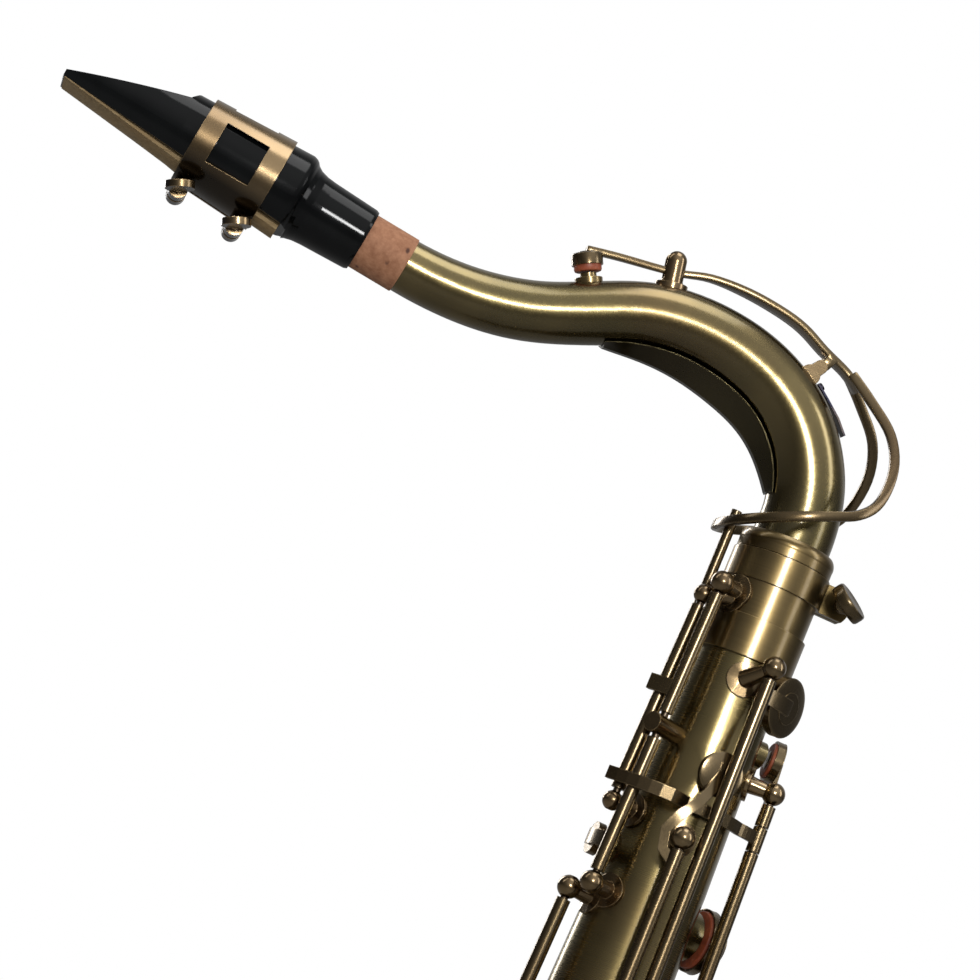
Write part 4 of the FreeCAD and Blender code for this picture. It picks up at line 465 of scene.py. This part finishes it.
ebonite, tree, shader, where = plain_finish("ebonite", 0.0)
shader.inputs["Specular IOR Level"].default_value = 0.24
cloud = noise(tree, where, 60.0, 3.0)
dust = noise(tree, where, 2400.0, 2.0, 0.8)
specks = ranged(tree, dust, 0.72, 0.8, 0.0, 0.35)
deep = blended(tree, ranged(tree, cloud, 0.35, 0.65), (0.0015, 0.0019, 0.0022),
               (0.0035, 0.0042, 0.0046))
tree.links.new(blended(tree, specks, deep, (0.03, 0.03, 0.03)), shader.inputs["Base Color"])
tree.links.new(ranged(tree, cloud, 0.3, 0.7, 0.07, 0.13), shader.inputs["Roughness"])
moulded = group_node(tree, edge_group, Radius=0.0006)
bumped(tree, shader, noise(tree, where, 380.0, 2.0), 0.05, 0.00005, moulded.outputs["Normal"])

cane, tree, shader, where = plain_finish("cane", 0.0)
shader.inputs["Specular IOR Level"].default_value = 0.08
along_cane = Vector((-0.9936, 0.0, 0.1132))
turn_cane = tree.nodes.new("ShaderNodeMapping")
turn_cane.inputs["Rotation"].default_value = (0.0, math.atan2(along_cane.z, -along_cane.x), 0.0)
tree.links.new(where, turn_cane.inputs["Vector"])
fibres = noise(tree, stretched(tree, turn_cane.outputs[0], (45, 2600, 2600)), 1.0, 4.0, 0.6)
broad = noise(tree, stretched(tree, turn_cane.outputs[0], (20, 220, 220)), 1.0, 2.0)
straw = blended(tree, ranged(tree, fibres, 0.36, 0.64), (0.22, 0.145, 0.065), (0.42, 0.31, 0.165))
straw = blended(tree, ranged(tree, broad, 0.4, 0.65, 0.0, 0.5), straw, (0.34, 0.22, 0.1))
tree.links.new(straw, shader.inputs["Base Color"])
tree.links.new(ranged(tree, fibres, 0.3, 0.7, 0.42, 0.6), shader.inputs["Roughness"])
bumped(tree, shader, fibres, 0.25, 0.0001)
print("made", spring_steel.name, ebonite.name, cane.name)

# %% Cork, leather, felt, pearl
cork, tree, shader, where = plain_finish("cork", 0.0)
grain = noise(tree, where, 420.0, 4.0, 0.65)
pores = tree.nodes.new("ShaderNodeTexVoronoi")
pores.inputs["Scale"].default_value = 260.0
tree.links.new(stretched(tree, where, (1.0, 1.0, 0.55)), pores.inputs["Vector"])
pits = ranged(tree, pores.outputs["Distance"], 0.22, 0.1)
some = ranged(tree, noise(tree, where, 150.0, 2.0), 0.52, 0.6)
pits = maths(tree, "MULTIPLY", pits, some)
flesh = blended(tree, ranged(tree, grain, 0.32, 0.66), (0.3, 0.125, 0.06), (0.45, 0.215, 0.115))
tree.links.new(blended(tree, pits, flesh, (0.09, 0.032, 0.018)), shader.inputs["Base Color"])
shader.inputs["Roughness"].default_value = 0.72
relief = maths(tree, "SUBTRACT", grain, maths(tree, "MULTIPLY", pits, 1.5))
bumped(tree, shader, relief, 0.5, 0.0002)

pad_leather, tree, shader, where = plain_finish("pad_leather", 0.0)
creases = noise(tree, where, 900.0, 4.0, 0.7)
wear = noise(tree, where, 140.0, 3.0)
skin = blended(tree, ranged(tree, wear, 0.35, 0.65), (0.3, 0.06, 0.025), (0.46, 0.12, 0.045))
skin = blended(tree, ranged(tree, creases, 0.3, 0.6, 0.5, 0.0), skin, (0.13, 0.025, 0.015))
tree.links.new(skin, shader.inputs["Base Color"])
tree.links.new(ranged(tree, creases, 0.3, 0.7, 0.36, 0.55), shader.inputs["Roughness"])
bumped(tree, shader, creases, 0.35, 0.00015)

felt, tree, shader, where = plain_finish("felt", 0.0)
fuzz = noise(tree, where, 2600.0, 5.0, 0.8)
wool = noise(tree, where, 300.0, 3.0)
tree.links.new(blended(tree, ranged(tree, fuzz, 0.3, 0.7), (0.2, 0.022, 0.018), (0.46, 0.07, 0.05)),
               shader.inputs["Base Color"])
shader.inputs["Roughness"].default_value = 0.95
shader.inputs["Sheen Weight"].default_value = 0.4
bumped(tree, shader, maths(tree, "ADD", fuzz, wool), 0.8, 0.0003)

pearl, tree, shader, where = plain_finish("pearl", 0.0, 0.8, 0.04)
layers = noise(tree, stretched(tree, where, (160, 160, 420)), 1.0, 4.0, 0.6)
shimmer = blended(tree, ranged(tree, layers, 0.35, 0.65), (0.62, 0.55, 0.5), (0.86, 0.84, 0.78))
shimmer = blended(tree, ranged(tree, noise(tree, where, 210.0), 0.45, 0.65, 0.0, 0.5), shimmer,
                  (0.58, 0.68, 0.66))
tree.links.new(shimmer, shader.inputs["Base Color"])
tree.links.new(ranged(tree, layers, 0.3, 0.7, 0.14, 0.28), shader.inputs["Roughness"])
print("made", cork.name, pad_leather.name, felt.name, pearl.name)

# %% [markdown]
# ## CAD nodes that stay
# Tubes, rings, posts, rods and levers keep their CAD shape. Each already carries the name of its
# finish in its material slot, so the slot's material is swapped for the one made above.

# %% Finish the CAD nodes
SLOTS = {"tube_brass": tube_brass, "neck_brass": neck_brass, "ring_brass": ring_brass,
         "key_brass": key_brass, "post_brass": post_brass, "rod_steel": rod_steel,
         "spring_steel": spring_steel, "ebonite": ebonite, "cane": cane, "cork": cork,
         "felt": felt}
slot_of = {}
for node_name, node in frame["nodes"].items():
    slot_of[node_name] = node.material_slots[0].material.name.split(".")[0]
    node.material_slots[0].material = SLOTS[slot_of[node_name]]
body_of = {node_name: body for body, names in frame["record"]["behaviour"]["bodies"].items()
           for node_name in names}
print("finished", len(slot_of), "CAD nodes")

# %% [markdown]
# ## Making pieces
# Every new piece goes through `add_piece`: it becomes an object at the origin with its place in
# its mesh, gets its finish, rides on its body and hides the CAD nodes it stands in for. `lathe`
# turns an outline round an axis, as most parts of a saxophone are made. `solids_of` gives merged
# copies of a CAD node's separate solids, so that the metal of a key and its pad can be parted.

# %% Helpers for pieces
SHARP_ANGLE = math.radians(32.0)
MERGE = 1e-6


def add_piece(name, mesh_data, material, body, slot, *nodes):
    """Make an object of a bmesh, let it ride on a body and stand for CAD nodes."""
    mesh_data.normal_update()
    for face in mesh_data.faces:
        face.smooth = True
    for edge in mesh_data.edges:
        if len(edge.link_faces) == 2:
            edge.smooth = edge.calc_face_angle(0.0) < SHARP_ANGLE
    mesh = bpy.data.meshes.new(name)
    mesh_data.to_mesh(mesh)
    mesh_data.free()
    piece = bpy.data.objects.new(name, mesh)
    bpy.context.collection.objects.link(piece)
    mesh.materials.append(material)
    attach(piece, body)
    if nodes:
        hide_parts(*nodes)
    return piece


def axis_frame(origin, axis):
    """Matrix that takes Z to an axis and zero to a place."""
    turn = Vector((0, 0, 1)).rotation_difference(axis)
    return Matrix.Translation(origin) @ turn.to_matrix().to_4x4()


def lathe(outline, origin, axis, steps=48):
    """Turn an outline of (radius, height) points in millimetres round an axis."""
    turned = bmesh.new()
    points = [turned.verts.new((radius * MM, 0, height * MM)) for radius, height in outline]
    edges = [turned.edges.new(pair) for pair in zip(points, points[1:])]
    bmesh.ops.spin(turned, geom=points + edges, cent=(0, 0, 0), axis=(0, 0, 1), dvec=(0, 0, 0),
                   angle=2 * math.pi, steps=steps, use_merge=True)
    bmesh.ops.remove_doubles(turned, verts=turned.verts, dist=MERGE)
    bmesh.ops.recalc_face_normals(turned, faces=turned.faces)
    bmesh.ops.transform(turned, matrix=axis_frame(origin, axis), verts=turned.verts)
    return turned


def solids_of(node_name):
    """Merged copies of a node's solids, the largest first."""
    whole = bmesh.new()
    whole.from_mesh(frame["nodes"][node_name].data)
    bmesh.ops.remove_doubles(whole, verts=whole.verts, dist=MERGE)
    whole.verts.ensure_lookup_table()
    left = set(range(len(whole.verts)))
    groups = []
    while left:
        group = {left.pop()}
        waiting = list(group)
        while waiting:
            for edge in whole.verts[waiting.pop()].link_edges:
                for vert in edge.verts:
                    if vert.index in left:
                        left.remove(vert.index)
                        group.add(vert.index)
                        waiting.append(vert.index)
        groups.append(group)
    solids = []
    for group in groups:
        solid = whole.copy()
        others = [vert for vert in solid.verts if vert.index not in group]
        bmesh.ops.delete(solid, geom=others, context="VERTS")
        solids.append(solid)
    whole.free()
    return sorted(solids, key=lambda solid: -solid.calc_volume())


# %% [markdown]
# Bent bars are drawn through a few known places. `smooth_run` lays a smooth line through them,
# and `band` pushes a flat section along it, one extrusion for each step, then rounds its edges.
# `eased` takes a plain CAD solid and rounds its corners, which is all that cork and felt need.

# %% Bars, joined shapes and eased solids
def smooth_run(points, steps):
    """Points on a smooth line through the given ones, which may hold more than a place."""
    ends = [points[0] * 2 - points[1], *points, points[-1] * 2 - points[-2]]
    run = []
    for before, start, end, after in zip(ends, ends[1:], ends[2:], ends[3:]):
        for step in range(steps):
            t = step / steps
            run.append(0.5 * (2 * start + (end - before) * t
                              + (2 * before - 5 * start + 4 * end - after) * t * t
                              + (3 * start - before - 3 * end + after) * t * t * t))
    return run + [points[-1]]


def round_edges(shape, offset, angle=50.0, segments=2):
    """Bevel the edges that are sharper than an angle."""
    sharp = [edge for edge in shape.edges if len(edge.link_faces) == 2
             and edge.calc_face_angle(0.0) > math.radians(angle)]
    bmesh.ops.bevel(shape, geom=sharp, offset=offset * MM, offset_type="OFFSET", affect="EDGES",
                    segments=segments, profile=0.5, material=-1, clamp_overlap=True)


def band(stations, thickness, round_off=0.45):
    """Flat bar through stations of (place in metres, facing direction, width in millimetres)."""
    frames = []
    for index, (centre, facing, width) in enumerate(stations):
        near = stations[max(index - 1, 0)][0]
        far = stations[min(index + 1, len(stations) - 1)][0]
        along = (far - near).normalized()
        face_on = (facing - along * facing.dot(along)).normalized()
        side = along.cross(face_on)
        turn = Matrix((side * width * MM, face_on * thickness * MM, along)).transposed().to_4x4()
        frames.append(Matrix.Translation(centre) @ turn)
    bar = bmesh.new()
    bmesh.ops.create_grid(bar, x_segments=1, y_segments=1, size=0.5)
    bmesh.ops.transform(bar, matrix=frames[0], verts=bar.verts)
    end_face = bar.faces[:][0]
    for before, after in zip(frames, frames[1:]):
        pushed = bmesh.ops.extrude_face_region(bar, geom=[end_face])["geom"]
        if end_face.is_valid and before is not frames[0]:
            bmesh.ops.delete(bar, geom=[end_face], context="FACES_ONLY")
        end_face = [item for item in pushed if isinstance(item, bmesh.types.BMFace)][0]
        bmesh.ops.transform(bar, matrix=after @ before.inverted(), verts=end_face.verts)
    bar.normal_update()
    bmesh.ops.recalc_face_normals(bar, faces=bar.faces)
    round_edges(bar, round_off)
    return bar


def gather(*shapes):
    """Several meshes as one."""
    whole = bmesh.new()
    for shape in shapes:
        carrier = bpy.data.meshes.new("carrier")
        shape.to_mesh(carrier)
        shape.free()
        whole.from_mesh(carrier)
        bpy.data.meshes.remove(carrier)
    return whole


def eased(node_name, offset):
    """Merged copy of a CAD node with its corners rounded."""
    shapes = solids_of(node_name)
    for shape in shapes:
        round_edges(shape, offset, 40.0, 3)
    return gather(*shapes)


# %% [markdown]
# ## Keys with a cup
# A real pad is a disc of felt in a skin of red-brown leather, domed at its edge, with a metal
# resonator riveted to its middle. It sits in a cup whose back is slightly domed and whose rim is
# rolled. The CAD has a plain slab for the pad, so its place, axis and size are read from that
# slab, and pad, resonator and the cup's back are turned on the same axis.

# %% Pads and cups
def disc_frame(solid):
    """Centre, axis, radius and thickness of a round slab, in metres."""
    centre = Vector()
    for vert in solid.verts:
        centre += vert.co
    centre /= len(solid.verts)
    ends = sorted(solid.faces, key=lambda face: -face.calc_area())
    axis = ends[0].normal.copy()
    heights = [(vert.co - centre).dot(axis) for vert in solid.verts]
    low, high = min(heights), max(heights)
    centre += axis * (low + high) / 2
    radius = max(((vert.co - centre) - axis * (vert.co - centre).dot(axis)).length
                 for vert in solid.verts)
    return centre, axis, radius, high - low


def pad_outline(radius, thick):
    """Half section of a pad, its face up: rounded skin edge and a slight dip to the middle."""
    return [(0, 0), (radius, 0), (radius, thick * 0.45), (radius * 0.985, thick * 0.72),
            (radius * 0.95, thick * 0.92), (radius * 0.88, thick), (radius * 0.6, thick * 0.95),
            (radius * 0.3, thick * 0.93), (0, thick * 0.93)]


def resonator_outline(radius, thick):
    """Half section of the domed metal disc on the pad's face, with its rivet."""
    wide = radius * 0.52
    return [(0, thick * 0.7), (wide, thick * 0.7), (wide, thick * 0.97), (wide * 0.9, thick * 1.02),
            (wide * 0.5, thick * 1.06), (wide * 0.2, thick * 1.06), (wide * 0.16, thick * 1.1),
            (0, thick * 1.1)]


def cup_outline(radius):
    """Half section over the cup's back: rolled rim and a shallow dome."""
    base = -CUP_BACK_THICKNESS
    return [(radius * 0.2, base + 0.2), (radius - 0.5, base + 0.2), (radius - 0.02, base + 0.3),
            (radius + 0.12, base + 0.1), (radius + 0.06, base - 0.12), (radius - 0.35, base - 0.28),
            (radius * 0.86, base - 0.4), (radius * 0.72, base - 0.58), (radius * 0.5, base - 0.76),
            (radius * 0.2, base - 0.85)]


def behind(solid, centre, way, radius):
    """How far a solid reaches behind a place, near the line through it."""
    reach = 0.0
    for vert in solid.verts:
        out = vert.co - centre
        along = out.dot(way)
        if (out - way * along).length < radius:
            reach = min(reach, along)
    return reach


def pearl_outline(radius):
    """Half section of a pearl disc let into its holder, its face down: dished, with a soft edge."""
    return [(0, 0.6), (radius, 0.6), (radius, 0.0), (radius * 0.95, -0.22), (radius * 0.85, -0.3),
            (radius * 0.5, -0.18), (0, -0.12)]


CUP_WALL, CUP_BACK_THICKNESS, PAD_CLEARANCE = 0.8, 1.6, 0.05
PEARL_KEYS = ("b_key", "bis_key", "a_key", "g_key", "f_key", "e_key", "d_key")
PEARL_HOLDER_RADIUS, PEARL_LIP = 6.6, 0.8
padded_nodes = [name for name in frame["nodes"] if name.endswith("_key")
                and name not in ("neck_octave_key", "body_octave_key")]
for node_name in padded_nodes:
    metal, pad = solids_of(node_name)[:2]
    body = body_of[node_name]
    centre, axis, radius, thick = disc_frame(pad)
    cup_side = sum((face.calc_center_median() - centre).dot(axis) * face.calc_area()
                   for face in metal.faces if (face.calc_center_median() - centre).length < radius)
    face_way = -axis if cup_side > 0 else axis
    back_place = centre - face_way * (thick / 2)
    rad, thk = radius / MM, thick / MM
    pad.free()
    if node_name in PEARL_KEYS:
        holder = centre + face_way * behind(metal, centre, face_way, PEARL_HOLDER_RADIUS * MM)
        add_piece(node_name + "_pearl",
                  lathe(pearl_outline(PEARL_HOLDER_RADIUS - PEARL_LIP), holder, face_way, 40),
                  pearl, body, "key_brass")
    add_piece(node_name + "_metal", metal, key_brass, body, "key_brass", node_name)
    add_piece(node_name + "_pad", lathe(pad_outline(rad, thk), back_place, face_way),
              pad_leather, body, "felt")
    add_piece(node_name + "_resonator",
              lathe(resonator_outline(rad, thk), back_place, face_way, 32),
              key_brass, body, "key_brass")
    add_piece(node_name + "_cup_back",
              lathe(cup_outline(rad + CUP_WALL + PAD_CLEARANCE), back_place, face_way),
              key_brass, body, "key_brass")
print("dressed", len(padded_nodes), "padded keys")

# %% [markdown]
# ## The neck's octave key
# A long bar rises from the pad over the neck's vent, runs through its guide and over the bend,
# and forks into a loop that goes round the neck to the pin behind it. On the real key it is one
# forged and filed piece with soft edges, so it is drawn as three bands through the places that
# the CAD key passes, with the cup turned at its end.

# %% Octave key on the neck
NECK_BAR = (  # x, height, width of the bar, and the way its face looks (x, z)
    (-60.9, 353.68, 3.42, -0.461, 0.888), (-50.39, 355.77, 3.04, -0.394, 0.919),
    (-32.43, 358.75, 2.28, -0.186, 0.983), (-20.71, 361.96, 4.18, -0.041, 0.999),
    (-8.17, 362.6, 6.84, 0.107, 0.994), (4.2, 361.51, 7.6, 0.25, 0.968),
    (12.84, 359.54, 7.6, 0.347, 0.938), (21.32, 355.8, 7.22, 0.47, 0.883),
    (30.66, 352.32, 6.46, 0.597, 0.802), (36.87, 348.33, 7.22, 0.681, 0.732))
LOOP_ARM = (  # x, sideways, height, and the way the band's face looks (x, sideways)
    (32.32, 2.42, 352.31, 0.0, 1.0), (40.38, 5.81, 346.12, 0.0, 1.0),
    (49.58, 10.16, 337.63, 0.0, 1.0), (53.6, 14.52, 326.88, 0.0, 1.0),
    (52.31, 19.36, 314.65, 0.15, 1.0), (47.0, 22.6, 307.6, 0.3, 0.95),
    (38.49, 23.96, 303.23, 0.14, 0.99), (30.92, 23.83, 299.9, -0.17, 0.98),
    (23.03, 20.96, 296.42, -0.5, 0.87), (16.59, 15.56, 293.59, -0.77, 0.64),
    (12.39, 8.28, 291.74, -0.94, 0.34), (10.93, 0.0, 291.1, -1.0, 0.0))
BAR_THICKNESS, LOOP_WIDTH, LOOP_THICKNESS, BAR_STEPS = 2.2, 3.2, 2.2, 5
VENT_PAD_RADIUS, VENT_PAD_THICKNESS, VENT_CUP_RADIUS = 4.4, 3.0, 5.0
BAR_END, BAR_OVER_PAD = (-60.9, 0, 353.68), 7.3


def row_spot(x, y, z):
    """Place given in the frame's own millimetres."""
    return Vector((x, y, z)) * MM


bar_run = smooth_run([Vector((x, z, width, look_x, look_z))
                      for x, z, width, look_x, look_z in NECK_BAR], BAR_STEPS)
bar = band([(row_spot(v[0], 0, v[1]), Vector((v[3], 0, v[4])), v[2]) for v in bar_run],
           BAR_THICKNESS)
loops = []
for side in (1, -1):
    arm_run = smooth_run([Vector(row) for row in LOOP_ARM], BAR_STEPS)
    loops.append(band([(row_spot(v[0], v[1] * side, v[2]), Vector((v[3], v[4] * side, 0)),
                        LOOP_WIDTH) for v in arm_run], LOOP_THICKNESS, 0.6))
vent_axis = Vector((-0.461, 0, 0.888)).normalized()
vent = row_spot(*BAR_END) - vent_axis * BAR_OVER_PAD * MM
cup = lathe([(0, 2.9), (4.45, 2.9), (4.45, 2.1), (4.9, 2.1), (VENT_CUP_RADIUS, 2.25),
             (VENT_CUP_RADIUS, 5.3), (4.8, 5.7), (4.3, 6.0), (2.9, 6.15), (2.6, 6.5), (0, 6.6)],
            vent, vent_axis, 40)
for joint in frame["record"]["behaviour"]["joints"]:
    if joint["child"] == "neck_octave_key":
        pivot = Vector(joint["pos_m"])
tube = lathe([(1.6, -3.6), (1.9, -3.7), (2.25, -3.5), (2.25, 3.5), (1.9, 3.7), (1.6, 3.6),
              (1.6, -3.6)], pivot, Vector((0, 1, 0)), 32)
web = band([(pivot + Vector((1.2, 0, 1.0)) * MM, Vector((1, 0, 0.35)), 6.9),
            (pivot + Vector((3.4, 0, 5.4)) * MM, Vector((1, 0, 0.5)), 6.9)], 3.6, 0.5)
add_piece("neck_octave_key_bar", gather(bar, *loops, cup, tube, web), key_brass,
          "neck_octave_key", "key_brass", "neck_octave_key")
add_piece("neck_octave_key_pad",
          lathe([(0, 0.15), (2.2, 0.1), (3.6, 0.0), (4.15, 0.2), (VENT_PAD_RADIUS, 0.8),
                 (VENT_PAD_RADIUS, 2.2), (4.2, VENT_PAD_THICKNESS), (0, VENT_PAD_THICKNESS)],
                vent, vent_axis, 40), pad_leather, "neck_octave_key", "felt")
vent_metal, vent_pad = solids_of("body_octave_key")[:2]
centre, axis, radius, thick = disc_frame(vent_pad)
vent_pad.free()
add_piece("body_octave_key_metal", vent_metal, key_brass, "body_octave_key", "key_brass",
          "body_octave_key")
add_piece("body_octave_key_pad",
          lathe([(0, -thick / MM / 2), (radius / MM * 0.85, -thick / MM / 2),
                 (radius / MM, -thick / MM * 0.3), (radius / MM, thick / MM * 0.3),
                 (radius / MM * 0.85, thick / MM / 2), (0, thick / MM / 2)], centre, axis, 32),
          pad_leather, "body_octave_key", "felt")
print("octave key bands:", 1 + len(loops))

# %% [markdown]
# ## The clamp's thumbscrew
# The screw that locks the neck ends in a thick round paddle with soft edges, dished a little on
# both faces by the thumb. It is turned like a coin and set on the end of its shaft.

# %% Thumbscrew of the neck clamp
PADDLE_RADIUS, PADDLE_HALF, PADDLE_OUT = 6.6, 2.1, 6.3
SHAFT_RADIUS, SHAFT_HALF, PADDLE_FACE = 1.6, 6.3, (0.52, -0.38, 0.77)
for joint in frame["record"]["behaviour"]["joints"]:
    if joint["child"] == "neck_screw":
        screw_line = Vector(joint["pos_m"])
screw_line.y = 0.0
paddle_face = Vector(PADDLE_FACE).normalized()
paddle_centre = screw_line - Vector((0, (SHAFT_HALF + PADDLE_OUT) * MM, 0))
coin_edge = [(0, 1.55), (3.2, 1.6), (4.6, 1.8), (5.5, PADDLE_HALF), (6.2, 1.95), (6.5, 1.5),
             (PADDLE_RADIUS, 0.8)]
coin = [(radius, -height) for radius, height in coin_edge] + coin_edge[::-1]
shaft = [(0, -SHAFT_HALF), (1.3, -SHAFT_HALF), (SHAFT_RADIUS, 0.3 - SHAFT_HALF),
         (SHAFT_RADIUS, SHAFT_HALF), (2.6, SHAFT_HALF), (2.9, SHAFT_HALF + 0.3),
         (2.5, SHAFT_HALF + 1.2), (1.2, SHAFT_HALF + 1.8), (0, SHAFT_HALF + 1.9)]
add_piece("neck_screw_turned", gather(lathe(coin, paddle_centre, paddle_face, 56),
                                      lathe(shaft, screw_line, Vector((0, -1, 0)), 32)),
          key_brass, "neck_screw", "key_brass", "neck_screw")
print("thumbscrew at", [round(value, 4) for value in paddle_centre])

# %% [markdown]
# ## Cork and felts
# Both are soft, so neither has a crisp corner. The cork sleeve is turned and sanded and stands a
# little proud of the neck. The felts are punched discs in the guards, which stop the bell keys.

# %% Cork and felts
add_piece("neck_cork_sleeve", eased("neck_cork", 0.35), cork, "neck", "cork", "neck_cork")
add_piece("guard_felt_discs", eased("guard_felts", 0.4), felt, "instrument_body", "felt",
          "guard_felts")
# painted shade: the neck brace gets the near-black brass for the shade it lies in
frame["nodes"]["neck_brace"].material_slots[0].material = painted_shade_brass
# the ligature and its screws take the brass with the strong painted shade on their lower side
for ligature_node in ("ligature", "ligature_screw_front", "ligature_screw_rear"):
    frame["nodes"][ligature_node].material_slots[0].material = ligature_brass
print("cork and felts made")

# %% [markdown]
# ## Floor
# A plain pale floor just under the bow. It isn't part of the instrument. The brass sees it
# darker than the camera does, so that the undersides keep their depth.

# %% Floor
FLOOR_DROP, FLOOR_SIZE, MIRRORED_GREY = 0.004, 12.0, (0.28, 0.28, 0.28)
floor_data = bmesh.new()
bmesh.ops.create_grid(floor_data, x_segments=1, y_segments=1, size=FLOOR_SIZE / 2)
bmesh.ops.translate(floor_data, verts=floor_data.verts, vec=(0, 0, cad_box[0].z - FLOOR_DROP))
floor_mesh = bpy.data.meshes.new("floor")
floor_data.to_mesh(floor_mesh)
floor_data.free()
floor = bpy.data.objects.new("floor", floor_mesh)
bpy.context.collection.objects.link(floor)
floor_paint, tree, shader, where = plain_finish("floor_paint", 0.0)
pale = blended(tree, noise(tree, where, 3.0), (0.8, 0.8, 0.8), (0.84, 0.84, 0.83))
looked_at = tree.nodes.new("ShaderNodeLightPath").outputs["Is Camera Ray"]
tree.links.new(blended(tree, looked_at, MIRRORED_GREY, pale), shader.inputs["Base Color"])
shader.inputs["Roughness"].default_value = 0.6
floor_mesh.materials.append(floor_paint)
print("floor at", round(cad_box[0].z - FLOOR_DROP, 3))

# %% [markdown]
# ## Finish
# The box of the CAD is printed.

# %% Sizes and end
print("CAD box", [round(v, 4) for c in cad_box for v in c])
